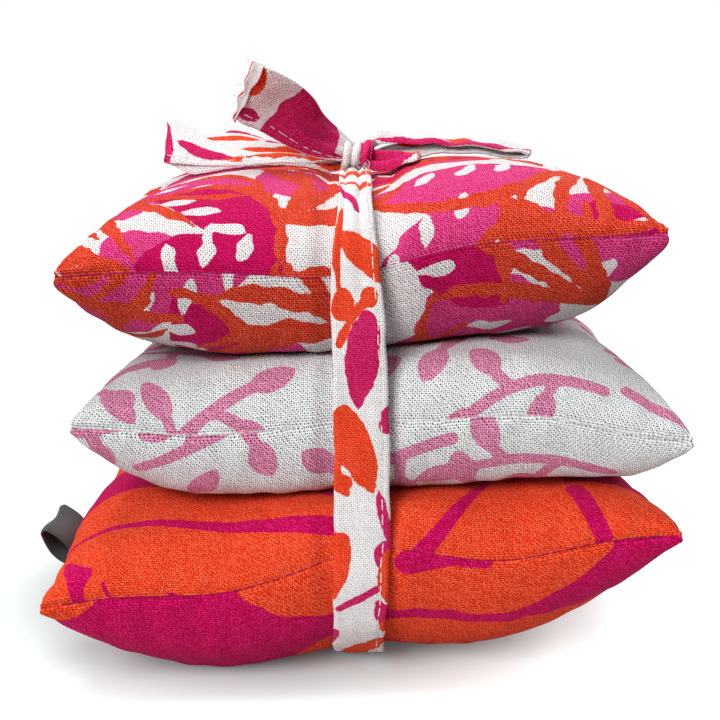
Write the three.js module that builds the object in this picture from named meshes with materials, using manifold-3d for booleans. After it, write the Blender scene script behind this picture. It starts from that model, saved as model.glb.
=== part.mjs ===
// A stack of three lavender sachets held by a cotton tie with a bow, with a loop of label tape in the bottom seam.
// Millimetres, +Z up, +X to the right and +Y to the back. The origin lies on the surface that the stack stands on,
// under the middle of the tie.
import * as THREE from "three";
import { mergeVertices } from "three/addons/utils/BufferGeometryUtils.js";
import Module from "manifold-3d";

const wasm = await Module();
wasm.setup();

// Cloth, thread and clearances
const clothThickness = 0.6;
const seamOpening = 1;
const threadDiameter = 0.4;
const touchGap = 0.3;
const fillingClearance = 0.3;
const fillingEdge = 0.3;
const floorCut = 0.5;
const swivelDegrees = 4;

// Sachets: side is from corner to corner along an edge, pressedThickness is what the sachet on top leaves of the
// height, and seamHeight is from the underside to the seam. The four corner rises and the three wave rises along
// its front lift the seam, and tiltShare is the slope, up to the right, of the face that the sachet lies on.
const bottomSachet = {
  side: 113.4,
  drawIn: 4.5,
  pressedThickness: 35.7,
  seamHeight: 24,
  crownAbove: 17,
  crownBelow: 26.5,
  frontLeftRise: -4.5,
  frontRightRise: 7,
  backRightRise: -3,
  backLeftRise: -3,
  leftWaveRise: -2.7,
  middleWaveRise: 2.7,
  rightWaveRise: -2.9,
  wavePlaceShares: [-0.45, 0.05, 0.45],
  shiftRight: -2.3,
  turnDegrees: 3,
};
const middleSachet = {
  side: 110,
  drawIn: 4.3,
  pressedThickness: 26.5,
  seamHeight: 13.5,
  crownAbove: 17.5,
  crownBelow: 20,
  tiltShare: 0.05,
  frontLeftRise: 1,
  frontRightRise: -0.9,
  backRightRise: -2.5,
  backLeftRise: -1.5,
  leftWaveRise: -1.8,
  middleWaveRise: 1.2,
  rightWaveRise: 3.3,
  wavePlaceShares: [-0.65, 0, 0.5],
  shiftRight: 4.6,
  turnDegrees: -1,
};
const topSachet = {
  side: 107.2,
  drawIn: 4.2,
  seamHeight: 16.5,
  crownAbove: 15,
  crownBelow: 24,
  tiltShare: 0.07,
  frontLeftRise: -1.9,
  frontRightRise: 5.2,
  backRightRise: -1,
  backLeftRise: -0.5,
  leftWaveRise: -1.1,
  middleWaveRise: -3.7,
  rightWaveRise: 0.3,
  wavePlaceShares: [-0.5, -0.08, 0.45],
  shiftRight: -2.1,
  turnDegrees: 3,
};
const sachetStack = [bottomSachet, middleSachet, topSachet];

// Tie: a folded and topstitched cotton strip, with the dents that it presses into the sachets
const tieWidth = 10;
const tieThickness = 0.9;
const tieSinkAtCrown = 1.6;
const tieSinkAtSeams = 1;
const dentEdge = 4;
const topstitchMargin = 1.5;
const topstitchDepth = 0.1;

// Knot on top of the tie, in front of the middle
const knotWidth = 6.8;
const knotLength = 9.6;
const knotHeight = 4.8;
const knotForward = 6;
const wrapWidth = 4.8;
const wrapThickness = 0.7;
const wrapTurnDegrees = 10;

// Loops and tails of the bow. side is -1 for the left and 1 for the right.
const bowClearance = 0.8;
const leftLoop = {
  side: -1,
  length: 35,
  width: 10.6,
  rootWidth: 4.4,
  opening: 2.4,
  back: 5.5,
  rootBack: 3,
  rootRise: 0,
  foldRise: 2.6,
  foldTiltDegrees: 62,
};
const rightLoop = {
  side: 1,
  length: 31,
  width: 9.5,
  rootWidth: 4.4,
  opening: 1.8,
  back: 6.5,
  rootBack: 3.4,
  rootRise: 0.5,
  foldRise: 0.7,
  foldTiltDegrees: 9,
};
const loopRootDiameter = 2.6;
const loopFoldRadius = 0.9;
const gatherShare = 0.4;
const tailRootDiameter = 1.7;
const tailRootWidth = 3.8;
const tailForward = 3.6;
const raisedTail = {
  run: 19,
  rise: 12.8,
  forward: 2,
  width: 11.8,
  rootRise: 0.6,
  cup: 1,
  twistDegrees: 76,
};
const lyingTail = {
  run: 9.5,
  forward: 0.8,
  width: 6.5,
  rootRise: -0.4,
  tiltDegrees: 14,
};

// Label tape: a short loop sewn into the left side seam of the bottom sachet
const labelWidth = 18;
const labelReach = 8.8;
const labelThickness = 0.5;
const labelOpening = 2;
const labelRootDiameter = 1.4;
const labelFoldRadius = 0.6;
const labelPlaceShare = -0.44;
const labelTiltDegrees = 50;

// Shapes of the crown and the seam as powers, and how finely the forms are divided
const edgePower = 3;
const waveWidthShare = 0.3;
const crownPower = 3;
const crownShare = 0.42;
const standingPower = 2.4;
const standingShare = 0.5;
const contactPower = 8;
const standingContactPower = 24;
const foldTiltPower = 3;
const panelDivisions = 12;
const tieDivisions = 48;
const loopDivisions = 10;
const foldDivisions = 6;
const tailDivisions = 12;
const labelDivisions = 4;
const rootDivisions = 12;
const knotDivisions = 20;
const underTieDivisions = 80;
const weldDistance = 0.0001;

// Colours
const orange = "#e2512a";
const magenta = "#b8106a";
const palePink = "#e9a9c4";
const natural = "#ece7e2";
const tieWhite = "#efe3e2";
const slate = "#56565a";
const bud = "#756a86";
const threadPink = "#c2306f";

function cloth(colour) {
  return new THREE.MeshStandardMaterial({ color: colour, roughness: 0.9, metalness: 0 });
}

function part(name, geometry, colour) {
  const mesh = new THREE.Mesh(geometry, cloth(colour));
  mesh.name = name;
  return mesh;
}

// A closed surface from points and triangles, turned so that its faces point out
function closedSurface(points, triangles) {
  let volume = 0;
  for (let i = 0; i < triangles.length; i += 3) {
    const [a, b, c] = [points[triangles[i]], points[triangles[i + 1]], points[triangles[i + 2]]];
    volume += a.dot(new THREE.Vector3().crossVectors(b, c));
  }
  const index = volume < 0 ? [...triangles].reverse() : triangles;
  const geometry = new THREE.BufferGeometry().setFromPoints(points);
  geometry.setIndex(index);
  return geometry;
}

function toSolid(geometry) {
  const bare = new THREE.BufferGeometry();
  bare.setAttribute("position", geometry.getAttribute("position"));
  bare.setIndex(geometry.index);
  const merged = mergeVertices(bare, weldDistance);
  const vertProperties = new Float32Array(merged.getAttribute("position").array);
  const triVerts = new Uint32Array(merged.index.array);
  return new wasm.Manifold(new wasm.Mesh({ numProp: 3, vertProperties, triVerts }));
}

function toGeometry(solid) {
  const mesh = solid.getMesh();
  const geometry = new THREE.BufferGeometry();
  geometry.setAttribute("position", new THREE.BufferAttribute(new Float32Array(mesh.vertProperties), 3));
  geometry.setIndex(new THREE.BufferAttribute(new Uint32Array(mesh.triVerts), 1));
  return geometry;
}

function smoothShare(t) {
  const held = THREE.MathUtils.clamp(t, 0, 1);
  return held * held * (3 - 2 * held);
}

// Dent that the tie presses into a sachet: flat as wide as the turned tie needs, with an edge on both sides
function dentPlaces(sachet) {
  const turn = THREE.MathUtils.degToRad(Math.abs(sachet.turnDegrees));
  const middle = -sachet.shiftRight * Math.cos(turn);
  const flat = tieWidth / 2 + touchGap + (sachet.side / 2) * Math.sin(turn);
  return { middle, flat, out: flat + dentEdge };
}

// 1 under the tie, falling to 0 beside it
function tieDent(sachet, x) {
  const { middle, flat } = dentPlaces(sachet);
  return 1 - smoothShare((Math.abs(x - middle) - flat) / dentEdge);
}

// Smaller of a height and a limit, with a rounded edge between them that is tighter for a higher power
function softLimit(height, limit, power = contactPower) {
  return height / Math.pow(1 + Math.pow(height / limit, power), 1 / power);
}

// Height of the seam above the sachet's underside, at u from left to right and v from front to back, each -1 to 1
function seamHeightAt(sachet, u, v) {
  const right = (1 + u) / 2;
  const back = (1 + v) / 2;
  let height = sachet.seamHeight;
  height += sachet.frontLeftRise * (1 - right) * (1 - back) + sachet.frontRightRise * right * (1 - back);
  height += sachet.backRightRise * right * back + sachet.backLeftRise * (1 - right) * back;
  const rises = [sachet.leftWaveRise, sachet.middleWaveRise, sachet.rightWaveRise];
  rises.forEach((rise, i) => {
    const away = (u - sachet.wavePlaceShares[i]) / waveWidthShare;
    height += rise * Math.exp(-away * away) * (1 - back) * (1 - back) * (1 - Math.pow(u, 4));
  });
  return height;
}

// Plan of the sachet: a square whose sides draw in between the corners and dent a little under the tie
function planAt(sachet, u, v, inset) {
  const half = sachet.side / 2;
  const shrink = 1 - inset / half;
  const x = u * (half - sachet.drawIn * u * u * (1 - Math.pow(Math.abs(v), edgePower)));
  const dent = tieSinkAtSeams * tieDent(sachet, x) * Math.abs(v);
  const y = v * (half - sachet.drawIn * v * v * (1 - Math.pow(Math.abs(u), edgePower)) - dent);
  return [x * shrink, y * shrink];
}

// How full the sachet is: 1 in the middle and 0 at the seam
function fullnessAt(u, v, acrossPower, acrossShare) {
  const along = Math.max(0, 1 - Math.pow(Math.abs(u), crownPower));
  const across = Math.max(0, 1 - Math.pow(Math.abs(v), acrossPower));
  return Math.pow(along, crownShare) * Math.pow(across, acrossShare);
}

// Height of the face between two sachets above its middle, at a place in the upper or the lower of them
function contactRise(upperSachet, x, sachet) {
  return upperSachet.tiltShare * (x + sachet.shiftRight);
}

// A point of the upper cloth, inset from the outside, and lifted from the seam by half the opening between the edges
function upperPoint(sachet, u, v, inset, opening) {
  const [x, y] = planAt(sachet, u, v, inset);
  const edge = seamHeightAt(sachet, u, v) + opening / 2;
  const fullness = fullnessAt(u, v, crownPower, crownShare);
  let lift = sachet.crownAbove * fullness;
  if (sachet === topSachet) {
    lift -= tieSinkAtCrown * tieDent(sachet, x) * fullness;
  } else {
    const above = sachetStack[sachetStack.indexOf(sachet) + 1];
    lift = softLimit(lift, sachet.pressedThickness + contactRise(above, x, sachet) - edge);
  }
  return new THREE.Vector3(x, y, edge + lift * (1 - inset / sachet.crownAbove));
}

// The same for the lower cloth. The bottom sachet is cut flat where it stands, and hollow over the tie.
function lowerPoint(sachet, u, v, inset, opening) {
  const [x, y] = planAt(sachet, u, v, inset);
  const edge = seamHeightAt(sachet, u, v) - opening / 2;
  let drop;
  if (sachet === bottomSachet) {
    const full = sachet.crownBelow * fullnessAt(u, v, standingPower, standingShare);
    drop = softLimit(full, edge + floorCut, standingContactPower);
    drop = Math.min(drop, edge - (tieThickness + touchGap) * tieDent(sachet, x));
  } else {
    const room = edge - contactRise(sachet, x, sachet);
    drop = softLimit(sachet.crownBelow * fullnessAt(u, v, crownPower, crownShare), room);
  }
  return new THREE.Vector3(x, y, edge - drop * (1 - inset / sachet.crownBelow));
}

// Places from -1 to 1 that lie closer together towards both ends
function evenTurns(divisions) {
  return Array.from({ length: divisions + 1 }, (_, i) => Math.sin(((2 * i) / divisions - 1) * (Math.PI / 2)));
}

// Columns and rows of a sachet's grid. The columns give way to the edges of the tie's dent.
function gridOf(sachet) {
  const half = sachet.side / 2;
  const { middle, flat, out } = dentPlaces(sachet);
  const clear = evenTurns(panelDivisions).filter((u) => Math.abs(u * half - middle) > out);
  const edges = [-out, -flat, flat, out].map((away) => (middle + away) / half);
  return { columns: [...clear, ...edges].sort((a, b) => a - b), rows: evenTurns(panelDivisions) };
}

// Solid between two surfaces over the same grid of u and v, with a wall round the edge
function slab(grid, topAt, bottomAt) {
  const points = [];
  for (const surface of [topAt, bottomAt]) {
    for (const u of grid.columns) {
      for (const v of grid.rows) points.push(surface(u, v));
    }
  }
  const row = grid.rows.length;
  const lower = row * grid.columns.length;
  const triangles = [];
  for (let i = 0; i < grid.columns.length - 1; i += 1) {
    for (let j = 0; j < row - 1; j += 1) {
      const [a, b, c, d] = [i * row + j, (i + 1) * row + j, (i + 1) * row + j + 1, i * row + j + 1];
      triangles.push(a, b, c, a, c, d);
      triangles.push(lower + a, lower + c, lower + b, lower + a, lower + d, lower + c);
    }
  }
  const edge = edgeLoop(grid).map(([i, j]) => i * row + j);
  edge.forEach((a, k) => {
    const b = edge[(k + 1) % edge.length];
    triangles.push(b, a, lower + a, b, lower + a, lower + b);
  });
  return closedSurface(points, triangles);
}

// Steps round the edge of a grid, starting at the front left corner
function edgeLoop(grid) {
  const right = grid.columns.length - 1;
  const back = grid.rows.length - 1;
  const loop = [];
  for (let k = 0; k < right; k += 1) loop.push([k, 0]);
  for (let k = 0; k < back; k += 1) loop.push([right, k]);
  for (let k = 0; k < right; k += 1) loop.push([right - k, back]);
  for (let k = 0; k < back; k += 1) loop.push([0, back - k]);
  return loop;
}

// Solid of a row of cross-sections, each a ring of points, either closed on itself or capped at both ends
function loft(sections, closed) {
  const sides = sections[0].length;
  const points = sections.flat();
  const triangles = [];
  const spans = closed ? sections.length : sections.length - 1;
  for (let i = 0; i < spans; i += 1) {
    const next = (i + 1) % sections.length;
    for (let k = 0; k < sides; k += 1) {
      const [a, b] = [i * sides + k, i * sides + ((k + 1) % sides)];
      const [c, d] = [next * sides + ((k + 1) % sides), next * sides + k];
      triangles.push(a, b, c, a, c, d);
    }
  }
  if (!closed) {
    const last = (sections.length - 1) * sides;
    for (let k = 1; k < sides / 2; k += 1) {
      const [a, b] = [k - 1, k];
      const [c, d] = [sides - 1 - k, sides - k];
      triangles.push(a, c, b, a, d, c);
      triangles.push(last + a, last + b, last + c, last + a, last + c, last + d);
    }
  }
  return closedSurface(points, triangles);
}

// Cross-section of a tape: three points along its upper face and three back along its lower face
function tapeSection(centre, across, normal, width, thickness, cup) {
  const place = (side, face) => {
    const bend = cup * side * side;
    return centre
      .clone()
      .addScaledVector(across, (side * width) / 2)
      .addScaledVector(normal, bend + (face * thickness) / 2);
  };
  return [place(-1, 1), place(0, 1), place(1, 1), place(1, -1), place(0, -1), place(-1, -1)];
}

// Upper and lower cloth, filling and stitching of one sachet, in its own frame
function sachetParts(prefix, sachet, upperColour, lowerColour) {
  const inside = clothThickness;
  const filled = clothThickness + fillingClearance;
  const grid = gridOf(sachet);
  const upper = slab(
    grid,
    (u, v) => upperPoint(sachet, u, v, 0, seamOpening),
    (u, v) => upperPoint(sachet, u, v, inside, seamOpening),
  );
  const lower = slab(
    grid,
    (u, v) => lowerPoint(sachet, u, v, inside, seamOpening),
    (u, v) => lowerPoint(sachet, u, v, 0, seamOpening),
  );
  const filling = slab(
    grid,
    (u, v) => upperPoint(sachet, u, v, filled, fillingEdge),
    (u, v) => lowerPoint(sachet, u, v, filled, fillingEdge),
  );
  const group = new THREE.Group();
  group.add(part(prefix + "_upper_panel", upper, upperColour));
  group.add(part(prefix + "_lower_panel", lower, lowerColour));
  group.add(part(prefix + "_lavender_filling", filling, bud));
  group.add(part(prefix + "_seam_stitching", seamStitching(sachet), threadPink));
  return group;
}

// Thread that runs round the seam between the two cloths
function seamStitching(sachet) {
  const middle = clothThickness / 2;
  const radius = threadDiameter / 2;
  const grid = gridOf(sachet);
  const sections = edgeLoop(grid).map(([i, j]) => {
    const [u, v] = [grid.columns[i], grid.rows[j]];
    const height = seamHeightAt(sachet, u, v);
    const place = (inset, rise) => new THREE.Vector3(...planAt(sachet, u, v, inset), height + rise);
    return [place(middle - radius, 0), place(middle, radius), place(middle + radius, 0), place(middle, -radius)];
  });
  return loft(sections, true);
}

// Stack: each sachet stands on the one below it
const stackBases = [];
let stackHeight = 0;
for (const sachet of sachetStack) {
  stackBases.push(stackHeight);
  if (sachet !== topSachet) stackHeight += sachet.pressedThickness + touchGap;
}

// A point of a sachet, turned by extra degrees, as a place in the whole stack
function inStack(sachet, point, extraDegrees = 0) {
  const angle = THREE.MathUtils.degToRad(sachet.turnDegrees + extraDegrees);
  const turned = point.clone().applyAxisAngle(new THREE.Vector3(0, 0, 1), angle);
  return turned.add(new THREE.Vector3(sachet.shiftRight, 0, stackBases[sachetStack.indexOf(sachet)]));
}

// Height of the top sachet's crown at a place in the stack
function crownHeight(x, y) {
  const angle = -THREE.MathUtils.degToRad(topSachet.turnDegrees);
  const local = new THREE.Vector3(x - topSachet.shiftRight, y, 0).applyAxisAngle(new THREE.Vector3(0, 0, 1), angle);
  const half = topSachet.side / 2;
  let [u, v] = [local.x / half, local.y / half];
  for (let round = 0; round < 6; round += 1) {
    const [px, py] = planAt(topSachet, u, v, 0);
    u += (local.x - px) / half;
    v += (local.y - py) / half;
  }
  return stackBases[2] + upperPoint(topSachet, u, v, 0, seamOpening).z;
}

// Points of the stack that the tie passes over, as places in the Y-Z plane, with room for the sachets to swivel
function pointsUnderTie() {
  const found = [];
  for (const sachet of sachetStack) {
    const half = sachet.side / 2;
    const turn = THREE.MathUtils.degToRad(Math.abs(sachet.turnDegrees) + swivelDegrees);
    const reach = tieWidth / 2 + touchGap + Math.abs(sachet.shiftRight) + half * Math.sin(turn);
    const swivels = sachet === bottomSachet ? [0] : [-swivelDegrees, 0, swivelDegrees];
    for (let i = 0; i <= underTieDivisions; i += 1) {
      for (const v of evenTurns(underTieDivisions)) {
        const u = ((2 * i) / underTieDivisions - 1) * (reach / half);
        const pair = [upperPoint(sachet, u, v, 0, seamOpening), lowerPoint(sachet, u, v, 0, seamOpening)];
        for (const extra of swivels) {
          for (const point of pair) {
            const placed = inStack(sachet, point, extra);
            if (Math.abs(placed.x) <= tieWidth / 2 + touchGap) found.push([placed.y, placed.z]);
          }
        }
      }
    }
  }
  return found;
}
const underTie = pointsUnderTie();

// Outline of the taut tie in the Y-Z plane: the convex line round those points, moved out by a distance
function tieOutline(distance) {
  const step = (2 * Math.PI) / tieDivisions;
  const reach = (angle) => {
    const [cos, sin] = [Math.cos(angle), Math.sin(angle)];
    return underTie.reduce((most, [y, z]) => Math.max(most, y * cos + z * sin), -Infinity) + distance;
  };
  const outline = [];
  for (let i = 0; i < tieDivisions; i += 1) {
    const [a, b] = [i * step, (i + 1) * step];
    const [ra, rb] = [reach(a), reach(b)];
    const y = (ra * Math.sin(b) - rb * Math.sin(a)) / Math.sin(step);
    const z = (rb * Math.cos(a) - ra * Math.cos(b)) / Math.sin(step);
    outline.push(new THREE.Vector2(y, z));
  }
  return outline;
}

// Ring of constant width along X between two outlines in the Y-Z plane
function ring(outer, inner, left, width) {
  const shape = new THREE.Shape(outer);
  shape.holes.push(new THREE.Path(inner));
  const geometry = new THREE.ExtrudeGeometry(shape, { depth: width, bevelEnabled: false, steps: 1 });
  const toStack = new THREE.Matrix4().makeBasis(
    new THREE.Vector3(0, 1, 0),
    new THREE.Vector3(0, 0, 1),
    new THREE.Vector3(1, 0, 0),
  );
  geometry.applyMatrix4(toStack.setPosition(left, 0, 0));
  return geometry;
}

// Tie with the groove that its topstitching lies in
const tieInside = tieOutline(touchGap);
const tieOutside = tieOutline(touchGap + tieThickness);
const topstitchMiddle = tieWidth / 2 - topstitchMargin;
function tieBand() {
  const grooveWidth = threadDiameter + touchGap + touchGap;
  const grooveFloor = tieThickness - topstitchDepth - threadDiameter - topstitchDepth;
  const band = toSolid(ring(tieOutside, tieInside, -tieWidth / 2, tieWidth));
  const groove = ring(
    tieOutline(touchGap + tieThickness + threadDiameter),
    tieOutline(touchGap + grooveFloor),
    topstitchMiddle - grooveWidth / 2,
    grooveWidth,
  );
  return toGeometry(band.subtract(toSolid(groove)));
}

function tieTopstitching() {
  const outer = tieThickness - topstitchDepth;
  return ring(
    tieOutline(touchGap + outer),
    tieOutline(touchGap + outer - threadDiameter),
    topstitchMiddle - threadDiameter / 2,
    threadDiameter,
  );
}

// Knot: a gathered core with the tape wrapped once round it, from front to back
const tieTop = tieOutside.reduce((most, point) => Math.max(most, point.y), 0);
const knotCentre = new THREE.Vector3(0, -knotForward, tieTop + touchGap + knotHeight / 2);
function knot() {
  const core = new THREE.SphereGeometry(1, knotDivisions, knotDivisions / 2);
  core.scale(knotWidth / 2, knotLength / 2 - wrapThickness, knotHeight / 2 - wrapThickness);
  const wrap = new THREE.CylinderGeometry(1, 1, wrapWidth, knotDivisions);
  wrap.rotateZ(Math.PI / 2);
  wrap.scale(1, knotLength / 2, knotHeight / 2);
  wrap.rotateZ(THREE.MathUtils.degToRad(wrapTurnDegrees));
  return toGeometry(toSolid(core).add(toSolid(wrap)));
}

// Round root that a loop or tail turns on, where its cloth is gathered beside the knot
function rootBead(diameter, width) {
  return toSolid(new THREE.CylinderGeometry(diameter / 2, diameter / 2, width, rootDivisions));
}

// Where a piece of the bow leaves the knot, on the left or the right of it
function bowRoot(side, diameter, back, rise) {
  const away = knotWidth / 2 + touchGap + diameter / 2;
  return knotCentre.clone().add(new THREE.Vector3(side * away, back, rise));
}

// Places along a tape that is folded back on itself, as a distance from the root and an offset from the middle
// plane between the layers: out along the upper layer, round the fold and back along the lower layer.
function foldedTape(length, thickness, opening, foldRadius, divisions) {
  const rootOffset = (thickness + touchGap) / 2;
  const out = [];
  for (let i = 0; i < divisions; i += 1) {
    const t = i / divisions;
    const bulge = (opening / 2) * Math.sin(Math.PI * t);
    out.push([(length - foldRadius) * t, THREE.MathUtils.lerp(rootOffset, foldRadius, t) + bulge]);
  }
  const fold = [];
  for (let i = 0; i <= foldDivisions; i += 1) {
    const angle = (Math.PI * i) / foldDivisions;
    fold.push([length - foldRadius + foldRadius * Math.sin(angle), foldRadius * Math.cos(angle)]);
  }
  const home = out.map(([along, offset]) => [along, -offset]).reverse();
  return [...out, ...fold, ...home];
}

// Bow loop, in the frame of its root. Both layers lean by the same tilt, which grows towards the fold, and the
// lower layer clears the crown of the top sachet.
function bowLoop(loop, root) {
  const foldTilt = THREE.MathUtils.degToRad(loop.foldTiltDegrees);
  const tiltAt = (share) => foldTilt * Math.pow(share, foldTiltPower);
  const widthAt = (share) => THREE.MathUtils.lerp(loop.rootWidth, loop.width, smoothShare(share / gatherShare));
  const middleY = (share) => root.y + loop.back * share;
  const clearAt = (share, offset) => {
    const x = root.x + loop.side * loop.length * share;
    const [flat, steep] = [Math.cos(tiltAt(share)), Math.sin(tiltAt(share))];
    const half = widthAt(share) / 2;
    const under = bowClearance + (offset + tieThickness / 2) * flat;
    const edges = [-1, 0, 1].map((edge) => crownHeight(x, middleY(share) + edge * half * flat) - edge * half * steep);
    return Math.max(...edges) + under;
  };
  const rootOffset = (tieThickness + touchGap) / 2;
  const spare = root.z - clearAt(0, rootOffset);
  const places = foldedTape(loop.length, tieThickness, loop.opening, loopFoldRadius, loopDivisions);
  const sections = places.map(([along, offset]) => {
    const share = along / loop.length;
    const [flat, steep] = [Math.cos(tiltAt(share)), Math.sin(tiltAt(share))];
    const rest = clearAt(share, Math.abs(offset)) + spare * (1 - share) * (1 - share);
    const z = rest + loop.foldRise * share * share;
    const centre = new THREE.Vector3(loop.side * along, middleY(share) - root.y, z - root.z);
    const across = new THREE.Vector3(0, flat, steep);
    const normal = new THREE.Vector3(0, -steep, flat);
    centre.addScaledVector(normal, offset);
    return { centre, across, width: widthAt(share) };
  });
  const tape = toSolid(tapeSolid(sections, tieThickness, 0));
  return toGeometry(tape.add(rootBead(loopRootDiameter, loop.rootWidth)));
}

// Tape of a thickness along a row of places, each with its centre, the direction across the tape and its width
function tapeSolid(places, thickness, cup) {
  const last = places.length - 1;
  const sections = places.map((place, i) => {
    const ahead = places[Math.min(i + 1, last)].centre;
    const behind = places[Math.max(i - 1, 0)].centre;
    const along = ahead.clone().sub(behind).normalize();
    const normal = new THREE.Vector3().crossVectors(along, place.across).normalize();
    const bend = cup * smoothShare(i / last);
    return tapeSection(place.centre, place.across, normal, place.width, thickness, bend);
  });
  return loft(sections, false);
}

// Raised tail, in the frame of its root: it rises to the left and twists, so that its front edge becomes the upper
function raisedTailSolid() {
  const { run, rise, forward, width, twistDegrees, cup } = raisedTail;
  const along = new THREE.Vector3(-run, -forward, rise);
  const direction = along.clone().normalize();
  const places = [];
  for (let i = 0; i <= tailDivisions; i += 1) {
    const t = i / tailDivisions;
    const twist = THREE.MathUtils.degToRad(twistDegrees) * smoothShare(t / (1 - gatherShare));
    const across = new THREE.Vector3(0, 1, 0).applyAxisAngle(direction, twist);
    across.addScaledVector(direction, -across.dot(direction)).normalize();
    places.push({
      centre: along.clone().multiplyScalar(t),
      across,
      width: THREE.MathUtils.lerp(tailRootWidth, width, smoothShare(t / (1 - gatherShare))),
    });
  }
  const tape = toSolid(tapeSolid(places, tieThickness, cup));
  return toGeometry(tape.add(rootBead(tailRootDiameter, tailRootWidth)));
}

// Lying tail, in the frame of its root: short, and lying down onto the crown in front of the right loop
function lyingTailSolid(root) {
  const { run, forward, width, tiltDegrees } = lyingTail;
  const tilt = THREE.MathUtils.degToRad(tiltDegrees);
  const places = [];
  const clearAt = (t) => {
    const half = (THREE.MathUtils.lerp(tailRootWidth, width, t) / 2) * Math.sin(tilt * t);
    return crownHeight(root.x + run * t, root.y - forward * t) + bowClearance + half + tieThickness / 2;
  };
  const spare = root.z - clearAt(0);
  for (let i = 0; i <= tailDivisions; i += 1) {
    const t = i / tailDivisions;
    places.push({
      centre: new THREE.Vector3(run * t, -forward * t, clearAt(t) + spare * (1 - t) * (1 - t) - root.z),
      across: new THREE.Vector3(0, Math.cos(tilt * t), Math.sin(tilt * t)),
      width: THREE.MathUtils.lerp(tailRootWidth, width, t),
    });
  }
  const tape = toSolid(tapeSolid(places, tieThickness, 0));
  return toGeometry(tape.add(rootBead(tailRootDiameter, tailRootWidth)));
}

// Label tape, in the frame of its root: X to the right, Y along the seam to the back
function labelSolid() {
  const tilt = THREE.MathUtils.degToRad(labelTiltDegrees);
  const outward = new THREE.Vector3(-Math.cos(tilt), 0, Math.sin(tilt));
  const normal = new THREE.Vector3(Math.sin(tilt), 0, Math.cos(tilt));
  const places = foldedTape(labelReach, labelThickness, labelOpening, labelFoldRadius, labelDivisions);
  const sections = places.map(([along, offset]) => ({
    centre: outward.clone().multiplyScalar(along).addScaledVector(normal, offset),
    across: new THREE.Vector3(0, 1, 0),
    width: labelWidth,
  }));
  return toGeometry(toSolid(tapeSolid(sections, labelThickness, 0)).add(rootBead(labelRootDiameter, labelWidth)));
}

// Frame of the label's root in the bottom sachet: beside the left seam, with Y along it
function labelFrame() {
  const seamPoint = (v) => {
    const [x, y] = planAt(bottomSachet, -1, v, 0);
    return new THREE.Vector3(x, y, seamHeightAt(bottomSachet, -1, v));
  };
  const reach = labelWidth / bottomSachet.side;
  const [front, middle, back] = [-reach, 0, reach].map((away) => seamPoint(labelPlaceShare + away));
  const along = back.clone().sub(front).normalize();
  const up = new THREE.Vector3(0, 0, 1).addScaledVector(along, -along.z).normalize();
  const right = new THREE.Vector3().crossVectors(along, up);
  const bulge = Math.max(...[front, middle, back].map((point) => middle.dot(right) - point.dot(right)));
  const frame = new THREE.Group();
  frame.position.copy(middle).addScaledVector(right, -(bulge + touchGap + labelRootDiameter / 2));
  frame.quaternion.setFromRotationMatrix(new THREE.Matrix4().makeBasis(right, along, up));
  return frame;
}

const stack = new THREE.Group();
const sachetLooks = [
  ["bottom", magenta, magenta],
  ["middle", natural, natural],
  ["top", orange, orange],
];
const sachetGroups = sachetStack.map((sachet, i) => {
  const [prefix, upperColour, lowerColour] = sachetLooks[i];
  const group = sachetParts(prefix, sachet, upperColour, lowerColour);
  group.position.copy(inStack(sachet, new THREE.Vector3()));
  group.rotation.z = THREE.MathUtils.degToRad(sachet.turnDegrees);
  stack.add(group);
  return group;
});

const labelGroup = labelFrame();
labelGroup.name = "label_hinge";
labelGroup.add(part("label_tape_loop", labelSolid(), slate));
sachetGroups[0].add(labelGroup);

stack.add(part("tie_band", tieBand(), tieWhite));
stack.add(part("tie_topstitching", tieTopstitching(), natural));
const knotMesh = part("tie_knot", knot(), palePink);
knotMesh.position.copy(knotCentre);
stack.add(knotMesh);

function addToBow(name, root, geometry) {
  const group = new THREE.Group();
  group.name = name + "_hinge";
  group.position.copy(root);
  group.add(part(name, geometry, tieWhite));
  stack.add(group);
}

for (const [name, loop] of [["bow_left_loop", leftLoop], ["bow_right_loop", rightLoop]]) {
  const root = bowRoot(loop.side, loopRootDiameter, loop.rootBack, loop.rootRise);
  addToBow(name, root, bowLoop(loop, root));
}
addToBow(
  "bow_raised_tail",
  bowRoot(-1, tailRootDiameter, -tailForward, raisedTail.rootRise),
  raisedTailSolid(),
);
const lyingRoot = bowRoot(1, tailRootDiameter, -tailForward, lyingTail.rootRise);
addToBow("bow_lying_tail", lyingRoot, lyingTailSolid(lyingRoot));

export default stack;
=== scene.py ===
"""Looks of a stack of three lavender sachets, tied round with a cotton strip that ends in a bow.

Every length of the object is in millimetres, and becomes metres where a mesh is made. The studio's are in metres.
X is to the right, Y to the back, Z up.
"""

import sys

import logging
import math
from collections.abc import Callable, Sequence
from dataclasses import dataclass, field
from enum import Enum
from functools import partial

import bpy
import numpy as np
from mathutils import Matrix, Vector
from mathutils.bvhtree import BVHTree


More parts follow.
